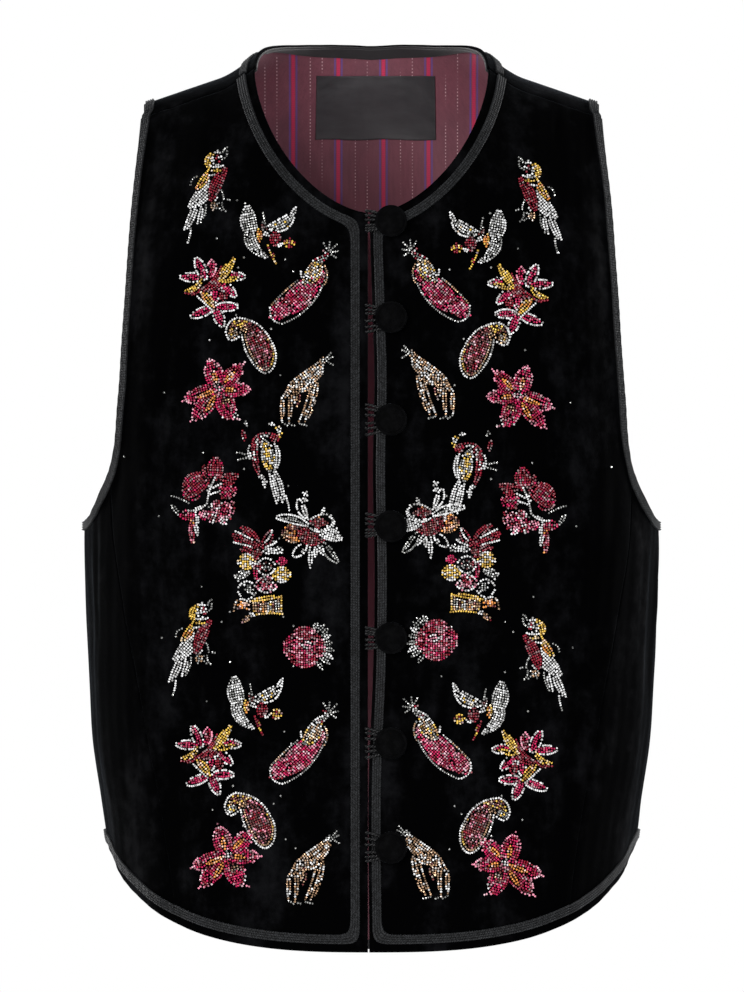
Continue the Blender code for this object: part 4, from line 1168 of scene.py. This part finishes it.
# Motifs as strokes of beads: colour, start x and z, end x and z, width, sideways bow. The unit is
# one pixel of the photograph. A width below 0 beads the outline only, and a width or bow of 0 may
# be left out. Earlier strokes lie on top, and a stroke of several colours has them strewn.
MOTIFS = {
    "perched_bird": (
        ("silver", 12, 36, 16, 41, 0, 1), ("silver", 11, 29, 16, 37, 0, -2),
        ("white", 4, 36, 9, 36, 2, 1), ("crimson/white", 7, 33, 9, 27, 6), ("white", 2, 31, 3, 25, 4),
        ("gold", 3, 36, -2, 19, 5, -4), ("gold", -2, 19, 9, 18, 2), ("white", 0, 22, 12, 23, 2),
        ("gold/gold/orange", -3, 17, -14, 0, 6, 1), ("crimson", 15, 20, 0, -12, 10, -2),
        ("white", -2, 13, 6, 14), ("white", 4, 9, -21, -19, 13, 1), ("silver", -14, 12, -20, 4, 0, -2),
        ("white", -14, -14, -26, -41, 6, 1), ("white/silver", -20, -35, -23, -54, 0, 1),
        ("white", -9, -16, -13, -35, 3, 1), ("silver", -5, -14, -10, -34, 0, 2),
        ("white", 6, -6, 1, -13, 5), ("silver", 9, 0, 13, -11, 0, 1), ("silver", 12, -10, 19, -12),
        ("silver", 12, -12, 15, -23, 0, -2), ("silver/bronze", 4, -13, 3, -22, 6),
        ("silver", 8, -15, 11, -22, 3),
    ),
    "flying_bird": (
        ("silver", -8, 17, -6, 7), ("gold/orange", -12, 1, -11, -11, 4), ("crimson", 4, -2, 4, -15, 10),
        ("white", 5, -15, 11, -13, 4), ("gold/gold/crimson", 13, -12, 23, -13, 9),
        ("gold/crimson", -3, -15, 5, -33, 2), ("white", -9, -2, -2, -5, 3),
        ("brown/silver", -8, 8, -5, -4, 4), ("white", 19, 15, 24, 23, 3, -1),
        ("white", -4, 2, 23, 17, -12, -4), ("white/white/silver/silver/gold", -2, 2, 21, 15, 8, -4),
        ("white/silver", -24, 24, -17, -8, 15, -2), ("white/silver", -21, 10, -5, -27, 10, -8),
        ("white", -14, -6, -9, -22, 0, -2),
    ),
    "peacock": (
        ("silver", 29, 36, 30, 44), ("silver", 28, 36, 24, 43), ("silver", 31, 36, 37, 42),
        ("silver", 31, 34, 38, 35), ("silver", 30, 33, 36, 29), ("crimson/white", 24, 36, 31, 33, 4),
        ("white/silver/crimson", 28, 31, 14, 25, 5, 1),
        ("silver/bronze/gold/white", 20, 27, 5, 3, 14, 2), ("silver/bronze", 22, 24, 25, 2, 0, 4),
        ("white", 2, 15, 6, 6, 4), ("white/silver", -29, -21, -17, -37, 0, -5),
        ("silver", 25, 6, -17, -37, 0, 7), ("silver/bronze", -2, 6, -29, -20, 0, -1),
        ("magenta/crimson/magenta/pink", -12, -13, -28, -32, 17),
        ("magenta/crimson/magenta/pink", 24, 14, -22, -28, 22, 2),
    ),
    "lilies": (
        ("gold", -9, 9, -25, -2, 4, 3), ("gold", 8, 8, 23, 30, 7), ("gold", 9, 8, 27, 12, 4, -1),
        ("gold/gold/orange", -9, -3, 4, -18, 6), ("crimson", 11, 21, -10, -2, 9, 6),
        ("crimson", -9, 5, -25, -5, 5, 3), ("white", -15, -6, 1, -21), ("magenta", -6, 11, -14, 29, 4),
        ("magenta", -10, 11, -28, 12, 4), ("magenta/crimson", -1, 12, 2, 27, 4),
        ("magenta", 18, 14, 31, 13, 4), ("magenta", 11, 5, 23, -6, 4), ("magenta", 1, -20, -17, -26, 4),
        ("magenta", 4, -19, 11, -35, 5), ("magenta", 7, -18, 24, -18, 4), ("magenta", 5, 2, 4, -11, 3),
        ("crimson", 12, -2, 13, -12, 7), ("white", -5, 9, -15, 31, -10), ("white", -7, 11, -31, 12, -9),
        ("pink", -1, 11, 2, 29, -9), ("white", 13, 13, 34, 12, -9), ("white", 9, 8, 25, -8, -9),
        ("white", 3, -19, -20, -28, -9), ("white", 4, -18, 12, -38, -10),
        ("white", 5, -18, 27, -18, -9), ("pink/white", 5, 4, 4, -14, -8),
    ),
    "paisley": (
        ("white/white/silver", -15, 24, 19, 1, 0, 6), ("white/white/silver", 19, 1, 22, -24, 0, 3),
        ("white", 22, -24, 5, -26, 0, 6), ("white/silver", 5, -26, -10, 7, 0, 3),
        ("white", -15, 24, -26, 10, 0, -3), ("white", -26, 10, -13, 5, 0, -6),
        ("gold/brown", -13, 21, 17, 0, 0, 6), ("gold/bronze", 17, 0, 19.5, -22, 0, 3),
        ("bronze", 19.5, -22, 6, -24, 0, 5), ("bronze", 6, -23, -7, 7, 0, 2),
        ("bronze/gold/silver", -21, 12, -17, 4, 8), ("bronze/brown/gold", -5, 19, -21, 14, 8, -2),
        ("bronze", -6, 16, -11, 6, 5), ("brown/brown/brown/crimson/pink", -6, 17, 12, -28, 26, 5),
        ("brown/brown/brown/crimson/pink", 10, 0, 15, -30, 13),
    ),
    "hibiscus": (
        ("silver/white/pink", 1, 8, 2, 0, 6), ("orange", -2, 10, -4, 21, 3),
        ("orange", 7, 11, 16, 20, 3), ("orange", 6, 3, 17, 2, 3), ("orange", -3, 2, -19, -5, 3),
        ("orange", -3, -4, -11, -18, 3), ("bronze/brown", 7, -5, 9, -13, 6),
        ("magenta/magenta/crimson", 1, 2, -8, 29, 16), ("magenta/magenta/crimson", 2, 4, 22, 25, 15),
        ("magenta/magenta/crimson", 1, 3, 28, 3, 14), ("magenta/magenta/crimson", 3, 4, 12, -26, 18),
        ("magenta/magenta/crimson", 1, 4, -22, -25, 16), ("magenta/magenta/crimson", 2, 3, -29, -6, 16),
        ("pink", 1, 2, -8, 32, -18), ("pink", 2, 4, 24, 27, -17), ("pink", 1, 3, 31, 3, -16),
        ("pink/white", 3, 4, 13, -28, -20), ("pink", 1, 4, -24, -27, -18), ("pink", 2, 3, -32, -7, -18),
        ("pink", -8, 31, -9, 35), ("pink", 24, 26, 27, 30), ("pink", 30, 3, 34, 3),
        ("pink", 17, -26, 22, -27), ("pink", -23, -26, -27, -29), ("pink", -31, -7, -35, -9),
    ),
    "giraffe": (
        ("silver", 16, 35, 21, 41), ("silver", 17, 34, 23, 37), ("silver", 17, 33, 23, 29),
        ("silver/bronze", 11, 35, 20, 33, 5), ("bronze/bronze/white", 13, 33, -18, 11, 5, 1),
        ("bronze/bronze/white", 14, 28, -4, 9, 7, 1), ("bronze/white", -19, 11, -27, -4, 4, 2),
        ("bronze/white", -27, -2, -27, -26, 3), ("bronze/bronze/bronze/white", -20, 9, -20, -29, 3, 1),
        ("bronze/bronze/bronze/white", -16, 7, -14, -8, 3, 1),
        ("bronze/bronze/bronze/white", 8, 16, -4, -27, 4, 2),
        ("bronze/bronze/bronze/white", 2, 10, -10, -27, 3, 2),
        ("bronze/bronze/bronze/white", -18, 8, 3, 10, 14, 1), ("bronze/brown", -11, 4, -12, -12, 4),
        ("silver", -27, -28, -22, -31), ("silver", -20, -30, -15, -31), ("silver", -10, -29, -3, -31),
    ),
    "standing_bird": (
        ("white", 2, 31, 7, 30, 2), ("gold/gold/white", 8, 29, 13, 18, 4, 2),
        ("crimson", 4, 18, 11, 15, 7), ("silver", -4, 16, 1, 12), ("white", -6, 18, -6, 8, 0, 1),
        ("white", -5, 19, 2, 17, 0, 1), ("white", 1, 10, 4, 9),
        ("gold/gold/silver/white", -1, 11, 3, -16, 12), ("white/crimson", -9, 15, -8, -12, 3, -3),
        ("crimson", 6, 20, -14, 1, 7, -7), ("crimson", -13, 2, -8, -19, 4, -1),
        ("white", -17, 9, -15, -6, 4, -1), ("white", -14, -8, -5, -23, 4, -1),
        ("white", 7, 13, 7, -17, 3, 4), ("white", 3, -19, 10, -48, 5, 1),
        ("white", 8, -17, 16, -47, 5, 1), ("white", 14, -30, 22, -55, 0, 1),
        ("white", -3, -22, -2, -32, 4), ("silver", -30, 2, -20, -1, 0, 1), ("silver", -29, -5, -21, -3),
        ("crimson/silver", -24, 24, -22, 14, 3), ("silver", -21, 33, -20, 29),
    ),
    "leaf_branch": (
        ("white", -18, -10, 0, -3, 2, -2), ("white", 0, -3, 8, 22, 2, 2), ("white", 1, 7, 14, 16, 0, 1),
        ("white", 2, 5, 13, 9), ("white", -11, -12, -10, -25, 2, 1), ("silver", -35, 4, -18, -3, 0, 1),
        ("silver", -34, -5, -28, -14, 3), ("crimson/crimson/crimson/magenta", 9, 42, 8, 20, 15),
        ("crimson/crimson/crimson/magenta", -3, 34, 8, 22, 10, -1), ("crimson", 31, 24, 11, 21, 11, 2),
        ("crimson/crimson/crimson/magenta", -22, 4, 2, 24, 20, 3),
        ("crimson/crimson/magenta", -19, 2, -8, 12, 14),
        ("crimson/crimson/magenta", 14, 13, 24, 3, 13, 1), ("crimson/magenta", 29, 11, 15, 2, 10),
        ("silver", 2, -7, 2, -7, 4), ("pink/white/crimson", 5, -5, 15, -4, 8),
        ("pink/crimson/magenta", 12, -4, 24, -9, 9), ("crimson/pink", 26, -2, 21, -17, 8),
        ("pink/white/crimson", 2, -17, 10, -20, 8), ("pink/white", 13, -17, 20, -23, 7),
        ("crimson/magenta/pink", 2, -12, 24, -17, 12), ("crimson/magenta", -26, -15, -13, -15, 9),
        ("white", -8, -17, -9, -35, 3, -2), ("crimson/crimson/orange/pink", -14, -18, -14, -42, 7),
        ("magenta/pink", -7, -13, 2, -17, 8),
    ),
    "lotus": (
        ("white", -34, 13, -2, 5, -8, 2), ("silver", -30, 12, -5, 6, 2, 2),
        ("white", -12, 31, -4, 12, -8, -1), ("white", -8, 24, -2, 11, 3), ("white", -7, 38, -3, 35, 4),
        ("white", -7, 32, -3, 30, 4), ("brown/crimson", 0, 8, 17, 8, 7),
        ("orange/gold", 3, 9, 15, 9, -8), ("white", -1, 9, 8, 15, 0, 1), ("white", 8, 14, 16, 16, 0, 1),
        ("white", 12, 15, 13, 22, 2), ("white", 15, 15, 24, 9, 2, 2), ("white", 23, 10, 17, 2, 2, 2),
        ("white", -2, 4, 18, 1, 2, -3), ("white", 10, -3, 31, -8, 11, 1), ("white", 12, 0, 26, 1, 5, 2),
        ("crimson/crimson/brown", -12, -3, 14, -7, 19), ("brown/bronze/orange", -28, -2, -6, -4, 18),
        ("white", -25, 3, -16, 6, 3), ("white", -17, -26, -4, -14, -9), ("white", -9, -24, -3, -16, 3),
        ("white", 0, -17, 0, -37, 3), ("white", 5, -17, 5, -26, 3), ("white", 8, -15, 13, -24, 4),
        ("silver", 12, -12, 27, -32, -8, -1), ("silver", 16, -17, 24, -28),
    ),
    "flower_basket": (
        ("gold", -12, -20, 19, -15, 3), ("white", -8, -35, -12, -33, 3),
        ("gold", -8, -34, 20, -33, 0, 1), ("bronze/gold", -9, -22, -8, -33),
        ("bronze/white", -6.5, -22, -6, -33), ("bronze/brown", -4, -22, -3.5, -33),
        ("bronze/white", -1.5, -21, -1.5, -33), ("bronze/orange", 1, -21, 1, -33),
        ("bronze/brown", 3.5, -20, 3.5, -33), ("bronze/white", 6, -20, 6, -33),
        ("gold/silver", 8.5, -19, 8.5, -33), ("bronze/brown", 11, -19, 11, -33),
        ("silver", 13.5, -18, 14, -33), ("silver/bronze", 16, -18, 16.5, -33),
        ("gold", 19, -17, 19, -33), ("brown/orange", -24, -27, -13, -28, 5, 3),
        ("bronze/white", -28, -30, -12, -22, 0, 8), ("orange/bronze", -25, -27, -13, -24, 0, 5),
        ("crimson/bronze", -20, -41, -12, -33, 4, -1), ("silver", 3, 14, 6, 14, 3),
        ("white", -5, 14, 13, 14, -17), ("silver/brown", 0, 14, 9, 14, -8),
        ("gold/gold/white", -24, 19, -7, 19, 15), ("gold/gold/white", 11, 6, 28, 6, 15),
        ("white", 1, 30, 12, 31, 7), ("white", 12, 28, 20, 31, 4), ("silver", 16, 34, 20, 28, 3),
        ("magenta", 15, 20, 24, 19, 7), ("crimson/pink", 0, -4, 9, -5, 7),
        ("pink/white", -6, -4, 15, -4, -16), ("pink/white/crimson", -4, -4, 13, -4, 11),
        ("silver", -17, -8, -9, -8, 7), ("white", -24, -9, -6, -10, -18),
        ("white", -20, -3, -9, -15, 0, 2), ("white/silver", -27, 4, -13, 8, 7),
        ("white/silver", -24, 0, -17, 10, 3), ("white", -10, 41, -26, 49), ("white", -12, 34, -28, 38),
        ("crimson", -4, 34, -29, 45, 9, 1), ("crimson", -3, 36, -20, 53, 8, -1),
        ("white", -9, 47, -10, 41), ("white", 3, 38, 10, 50, 0, -1), ("crimson", 0, 33, 9, 49, 8, -1),
        ("white", 6, 35, 14, 39, 2), ("crimson/brown", -4, 38, -7, 22, 9, 1),
        ("crimson/magenta", -4, 22, -6, 2, 6), ("crimson", -21, 32, -8, 26, 6),
    ),
    "berry": (
        ("silver", 8, 19, 12, 24, 3), ("silver", 12, 16, 18, 22, 3), ("silver", 16, 12, 22, 18, 3),
        ("white", 18, 8, 24, 12, 3), ("silver", 19, 3, 26, 5, 3), ("silver", 19, -2, 28, -3, 3),
        ("white", 18, -6, 27, -11, 3), ("silver", 15, -11, 24, -16, 3), ("silver", 12, -15, 17, -22, 3),
        ("pink/white", -3, 3, 7, 1, 6), ("magenta/crimson/crimson/pink", -21, 0, 19, 0, 40),
    ),
}

# Where the motifs lie: name, pixel of the photograph on the left, and on the right, mirrored
PLACES = (
    ("perched_bird", 212, 190, 534, 200), ("flying_bird", 272, 232, 474, 237),
    ("peacock", 300, 288, 440, 286), ("lilies", 212, 290, 521, 297), ("paisley", 253, 343, 483, 348),
    ("hibiscus", 219, 393, 518, 400), ("giraffe", 310, 395, 425, 388),
    ("standing_bird", 268, 455, 466, 465), ("leaf_branch", 208, 500, 530, 510),
    ("lotus", 311, 530, 430, 520), ("flower_basket", 263, 580, 470, 578), ("berry", 306, 646, 435, 639),
    ("perched_bird", 197, 640, 538, 655), ("flying_bird", 259, 700, 477, 705),
    ("lilies", 208, 755, 525, 760), ("peacock", 300, 745, 441, 740), ("paisley", 252, 815, 483, 820),
    ("hibiscus", 228, 857, 506, 865), ("giraffe", 316, 870, 420, 865),
)

# Single beads on the left, as pixels of the photograph; the right has them mirrored and shifted
STRAYS = (
    (238, 202), (246, 205), (218, 240), (245, 259), (286, 261), (294, 273), (239, 269), (238, 305),
    (237, 316), (272, 330), (211, 341), (281, 376), (239, 416), (246, 424), (204, 453), (245, 469),
    (289, 486), (280, 538), (203, 586), (231, 611), (223, 621), (284, 616), (294, 625), (294, 665),
    (231, 661), (208, 700), (232, 729), (285, 730), (292, 742), (231, 773), (234, 784), (281, 794),
    (274, 802), (214, 808), (244, 824), (286, 837), (296, 846), (165, 393), (125, 457), (160, 516),
    (163, 637),
)
STRAY_SHIFT = (-8, 10)


def stroke_points(start_x, start_z, end_x, end_z, width=0, bow=0):
    """Bead places of one stroke: lanes beside a bowed line, together as wide as a leaf.

    At the share t the middle is off the straight line by 4 * bow * t * (1 - t), and the
    leaf's half width is width / 2 * sin(pi * t) ** LEAF_POWER.
    """
    start = np.array((start_x, start_z), float)
    reach = np.array((end_x, end_z), float) - start
    length = np.hypot(*reach)
    side = np.array((-reach[1], reach[0])) / max(length, 1e-6)
    count = max(1, int(round(np.hypot(length, 2.3 * bow) / BEAD_STEP))) + 1
    t = np.linspace(0, 1, count)
    lanes = np.linspace(-1, 1, int(round(width / BEAD_LANE)) + 1) if width >= 2 else np.zeros(1)
    if width < 0:
        t = np.linspace(0.02, 0.98, max(count, int((length - width) / BEAD_STEP)))
        lanes = np.array((-1.0, 1.0))
    middle = start + reach * t[:, None] + side * (4 * bow * t * (1 - t))[:, None]
    half = abs(width) / 2 * np.sin(math.pi * np.clip(t, 0.03, 0.97)) ** LEAF_POWER
    return (middle[:, None] + side * (half[:, None] * lanes)[..., None]).reshape(-1, 2)


def motif_beads(strokes, chance):
    """Places and colours of a motif's beads, without those that would lie in an earlier one."""
    groups = [stroke_points(*stroke[1:]) for stroke in strokes]
    colours = np.concatenate([chance.choice(stroke[0].split("/"), len(group))
                              for stroke, group in zip(strokes, groups)])
    points = np.concatenate(groups)
    points = points + chance.uniform(-BEAD_STRAY, BEAD_STRAY, points.shape)
    near = np.linalg.norm(points[:, None] - points[None, :], axis=-1) < BEAD_NEAR
    kept = np.zeros(len(points), bool)
    for k in range(len(points)):
        kept[k] = not np.any(near[k] & kept)
    return points[kept], colours[kept]


def all_beads():
    """Photograph pixels and colours of every bead."""
    points, colours = [], []
    chance = np.random.default_rng(11)
    for name, left_x, left_y, right_x, right_y in PLACES:
        place_of, colour_of = motif_beads(MOTIFS[name], chance)
        for middle, side in (((left_x, left_y), 1), ((right_x, right_y), -1)):
            points.append(np.array(middle) + place_of * (side, -1))
            colours.append(colour_of)
    strays = np.array(STRAYS, float)
    x, y = strays.T
    mirrored = np.stack([2 * CENTRE_PX - x + STRAY_SHIFT[0], y + STRAY_SHIFT[1]], axis=-1)
    points += [strays, mirrored]
    colours += [np.array(["silver"] * len(strays))] * 2
    return np.concatenate(points), np.concatenate(colours)


def bead_shape():
    """A low bead: two rings of six points and two poles, in radii along side, up and out."""
    k = np.arange(6)
    rings = []
    for turn, level in ((0, -BEAD_LEVEL), (math.pi / 6, BEAD_LEVEL)):
        angle = k * math.pi / 3 + turn
        x, y = BEAD_RING * np.cos(angle), BEAD_RING * np.sin(angle)
        rings.append(np.stack([x, y, np.full(6, level)], axis=-1))
    n = (k + 1) % 6
    below, above = np.full(6, 12), np.full(6, 13)
    corners = ((k, n, 6 + k), (n, 6 + n, 6 + k), (below, n, k), (above, 6 + k, 6 + n))
    faces = np.concatenate([np.stack(three, axis=-1) for three in corners])
    return np.concatenate([*rings, [(0, 0, -BEAD_POLE), (0, 0, BEAD_POLE)]]), faces


def lay_beads():
    """One piece of seed beads for each kind, sewn on the fronts' pile."""
    pixels, colours = all_beads()
    x = (pixels[:, 0] - CENTRE_PX) * PIXEL
    z = (LEVEL_PX - pixels[:, 1]) * PIXEL
    points, normals = place(over_shoulder, *on_front(x, z))
    shape, faces = bead_shape()
    chance = np.random.default_rng(7)
    size = BEAD_RADIUS * chance.uniform(*BEAD_SIZES, len(x))
    twist = chance.uniform(0, math.pi / 3, len(x))
    lean = unit(normals + chance.uniform(-BEAD_TILT, BEAD_TILT, normals.shape))
    right = unit(np.cross(lean, (0, 0, 1)))
    up = np.cross(lean, right)
    side = round_about(twist, right, up)
    over = np.cross(lean, side)
    # Two random numbers for each bead: its depth of colour, partly painted light and shade, and the
    # chance of a painted glint
    tone_and_painted_glint = chance.uniform(0, 1, (len(x), 2))
    for name, (colour, roughness, metallic) in BEADS.items():
        pick = colours == name
        axes = np.stack([side[pick], over[pick], lean[pick]], axis=1)
        middle = points[pick] + normals[pick] * (BEAD_SEAT * size[pick])[:, None]
        vertices = middle[:, None] + np.einsum("pk,nkc->npc", shape, axes) * size[pick][:, None, None]
        shift = np.arange(pick.sum())[:, None, None] * len(shape)
        mesh = mesh_of("beads_" + name, vertices.reshape(-1, 3), (faces[None] + shift).reshape(-1, 3))
        set_uv(mesh, np.repeat(tone_and_painted_glint[pick], len(shape), axis=0))
        link("beads_" + name, mesh, bead_material("beads_" + name, colour, roughness, metallic))
        mesh.shade_flat()


# Cord loops: three nested ones at each button, as spread at the edge, reach past the shank, lift
CORD_RADIUS = 1.15 * MM
CORD_LAY = 5.2 * MM
PLY_SHIFT = 0.46 * CORD_RADIUS
PLY_RADIUS = 0.56 * CORD_RADIUS
LOOP_RUN = (-4.4 * MM, -1.4 * MM, 1.2 * MM, 5.0 * MM)
LOOPS = np.array([
    (0.0086, 0.0030, 0.0028),
    (0.0056, 0.0018, 0.0033),
    (0.0024, 0.0006, 0.0038),
])


def cord_line(height, spread, reach, over, wander):
    """Centre line of one cord loop: from the left front's edge, round the shank and back."""
    turn = np.radians(np.linspace(80, -80, 9))
    bend = SHANK_RADIUS + CORD_RADIUS + reach
    x = np.concatenate([LOOP_RUN, BUTTON_X + bend * np.cos(turn) * 0.8, LOOP_RUN[::-1]])
    half = spread * np.array((1.0, 0.97, 0.90, 0.74))
    up = np.concatenate([half, bend * np.sin(turn), -half[::-1]]) + wander
    rise = (CORD_RADIUS + 0.35 * MM, BRAID_LIFT + BRAID_HEIGHT + 0.4 * MM, over, over)
    lift = np.concatenate([rise, np.full(len(turn), over), rise[::-1]])
    at = np.linspace(0, len(x) - 1, 70)
    smooth = np.array([np.interp(at, np.arange(len(x)), row) for row in (x, up, lift)])
    for _ in range(4):
        smooth[:, 1:-1] = (smooth[:, :-2] + smooth[:, 1:-1] * 2 + smooth[:, 2:]) / 4
    points, normals = place(over_shoulder, *on_front(smooth[0], height + smooth[1]))
    return points + normals * smooth[2][:, None]


def twisted(centre, radius, plies=2, phase=0.0):
    """Lines of the plies that twist about a centre line: one turn for each lay's length."""
    along = length_along(centre)
    side, out = beside(centre)
    for ply in range(plies):
        angle = 2 * math.pi * (along / CORD_LAY + ply / plies) + phase
        yield centre + radius * round_about(angle, side, out)


def loop(name, number, height, material):
    """The twisted cord loops that pass under one button."""
    lines = []
    for k, (spread, reach, over) in enumerate(LOOPS):
        wander = 0.6 * MM * math.sin(2.1 * number + 1.3 * k)
        spread = spread * (0.95 - 0.2 * math.sin(1.7 * number))
        centre = cord_line(height, spread, reach, over, wander)
        lines += twisted(centre, PLY_SHIFT, phase=number + k)
    return tubes(name, lines, PLY_RADIUS, material)


# Facing inside the back neck edge, and the label hung level on the lining
FACING_TURNS = (0.5525, 0.5950)
FACING_HALF = 71.3 * MM
LABEL_TOP = -4.5 * MM
LABEL_HEIGHT = 42.5 * MM
LABEL_WIDTH = 81 * MM
LABEL_CENTRE = 2.9 * MM


def facing_grid(rows=8, columns=90):
    """x and turn of the facing: it follows the back neck edge and narrows into the shoulders."""
    top, bottom = FACING_TURNS
    x = np.linspace(-FACING_HALF, FACING_HALF, columns)
    width = (bottom - top) * np.clip((1 - (np.abs(x) / FACING_HALF) ** 6), 0.35, 1)
    share = np.linspace(1, 0, rows)[:, None]
    return x[None, :] + 0 * share, back_top_turn(x)[None, :] + width[None, :] * share + 0.004


def label_grid(rows=40, columns=70):
    """x and turn of the label: level rows, its foot a little wavy."""
    share = np.linspace(1, 0, rows)[:, None]
    x = LABEL_CENTRE + LABEL_WIDTH * np.linspace(-0.5, 0.5, columns)[None, :]
    z = LABEL_TOP - LABEL_HEIGHT * share + 0.35 * MM * share * np.sin(x * 160)
    return x + 0 * share, turn_at(x, z)


def stage_scene(low):
    """Pale floor that fades out, soft studio lights and the camera at the photograph's angle."""
    floor_material, shader, where = start_material("floor", (0.86, 0.86, 0.86), 0.7)
    away = where.node("VectorMath", {"operation": "LENGTH"}, out=1, in0=where)
    grain = where.noise(300.0, 2.0, 0.5)
    join(shader, "Roughness", 0.65 + grain * 0.1)
    join(shader, "Alpha", 1.0 - away.between(0.55, 1.12))
    rings = 24
    sides = 96
    radius = np.linspace(0, FLOOR_RADIUS, rings + 1)[1:]
    angle = full_turn(sides)
    ring = np.stack([np.cos(angle), np.sin(angle), np.zeros(sides)], axis=-1)
    points = (radius[:, None, None] * ring).reshape(-1, 3)
    index = ring_index(rings, sides)
    first = index[0].tolist()
    faces = quads(index)[:, ::-1].tolist()
    faces += [(len(points), a, b) for a, b in zip(first[:-1], first[1:])]
    mesh = bpy.data.meshes.new("floor")
    mesh.from_pydata(np.concatenate([points, [(0, 0, 0)]]).tolist(), [], faces)
    mesh.materials.append(floor_material)
    floor = into_scene("floor", mesh)
    floor.location = (0, 0, low - FLOOR_DROP)

    world = bpy.data.worlds.new("studio")
    bpy.context.scene.world = world
    world.use_nodes = True
    tree = world.node_tree
    shown = tree.nodes["Background"]
    shown.inputs["Color"].default_value = (1, 1, 1, 1)
    shown.inputs["Strength"].default_value = WORLD_SEEN
    lit = tree.nodes.new("ShaderNodeBackground")
    lit.inputs["Color"].default_value = (0.93, 0.96, 1, 1)
    lit.inputs["Strength"].default_value = WORLD_LIT
    path = tree.nodes.new("ShaderNodeLightPath")
    mix = tree.nodes.new("ShaderNodeMixShader")
    tree.links.new(path.outputs["Is Camera Ray"], mix.inputs["Fac"])
    tree.links.new(lit.outputs[0], mix.inputs[1])
    tree.links.new(shown.outputs[0], mix.inputs[2])
    tree.links.new(mix.outputs[0], tree.nodes["World Output"].inputs["Surface"])

    for name, place_at, size, power, tint in LIGHTS:
        light = bpy.data.lights.new(name, "AREA")
        light.shape = "RECTANGLE"
        light.size, light.size_y = size
        light.energy = power
        light.color = tint
        lamp = into_scene(name, light)
        lamp.location = place_at
        aim = np.array((0, 0, AIM_HEIGHT)) - np.array(place_at)
        lamp.rotation_euler = (math.atan2(math.hypot(aim[0], aim[1]), -aim[2]), 0,
                               math.atan2(aim[1], aim[0]) - math.pi / 2)

    height = PHOTO_HEIGHT_PX * PIXEL
    lens = bpy.data.cameras.new("camera")
    lens.sensor_fit = "AUTO"
    lens.sensor_width = SENSOR
    lens.lens = SENSOR * CAMERA_DISTANCE / height
    lens.clip_end = 50
    camera = into_scene("camera", lens)
    camera.location = ((PHOTO_WIDTH_PX / 2 - CENTRE_PX) * PIXEL, -CAMERA_DISTANCE,
                       (LEVEL_PX - PHOTO_HEIGHT_PX / 2) * PIXEL)
    camera.rotation_euler = (math.pi / 2, 0, 0)
    bpy.context.scene.camera = camera
    bpy.context.scene.view_settings.view_transform = "Standard"


def dress():
    """Build every piece and hide the solid that it stands for."""
    velvet = velvet_material()
    lining = lining_material()
    facing = facing_material()
    braid = braid_material()
    cord = cord_material()
    cover = button_material()
    satin = satin_material()

    def stand(piece, slot, *nodes):
        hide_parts(*(nodes or (piece.name,)))
        return piece

    for name, side in (("left", -1), ("right", 1)):
        x, z = front_grid(side)
        front = stand(shell("front_" + name + "_velvet", over_shoulder, *on_front(x, z), velvet, lining),
                      "velvet", "front_" + name)
        panel = stand(shell("side_" + name + "_velvet", round_side, *side_grid(side), velvet, lining),
                      "velvet", "side_" + name)
        stand(front_braid("braid_" + name + "_ribs", side, braid), "braid", "braid_" + name)
        stand(armhole_braid("braid_armhole_" + name + "_ribs", side, braid),
              "braid", "braid_armhole_" + name)

    back = stand(shell("back_velvet", over_shoulder, *back_grid(), velvet, lining), "velvet", "back")
    inside = stand(shell("back_lining_twill", over_shoulder, *back_grid(30, 96), facing, lining,
                         -(WALL + LAYER_GAP), LINING_WALL, rim=LINING_RIM), "lining", "back_lining")
    thin = (-(WALL + LINING_WALL + 2 * LAYER_GAP), LABEL_WALL, LABEL_RIM)
    stand(shell("facing_ribbon", over_shoulder, *facing_grid(), facing, facing, *thin),
          "facing", "back_neck_facing")
    label = stand(shell("label_satin", over_shoulder, *label_grid(), satin, satin, *thin),
                  "satin", "label")

    x, turn = back_neck_path()
    strips = edge_strips([(over_shoulder, x, turn)], BRAID_LINES)
    stand(ribbon("braid_back_neck_ribs", strips, braid), "braid", "braid_back_neck")
    stand(back_hem_braid("braid_back_hem_ribs", braid), "braid", "braid_back_hem")

    lay_beads()
    for number, height in enumerate(BUTTON_HEIGHTS, start=1):
        stand(button(f"button_{number}_cover", height, cover), "button_velvet", f"button_{number}")
        stand(loop(f"loop_{number}_cords", number, height, cord), "cord", f"loop_{number}")


dress()
stage_scene(CAD_BOX[0][2])
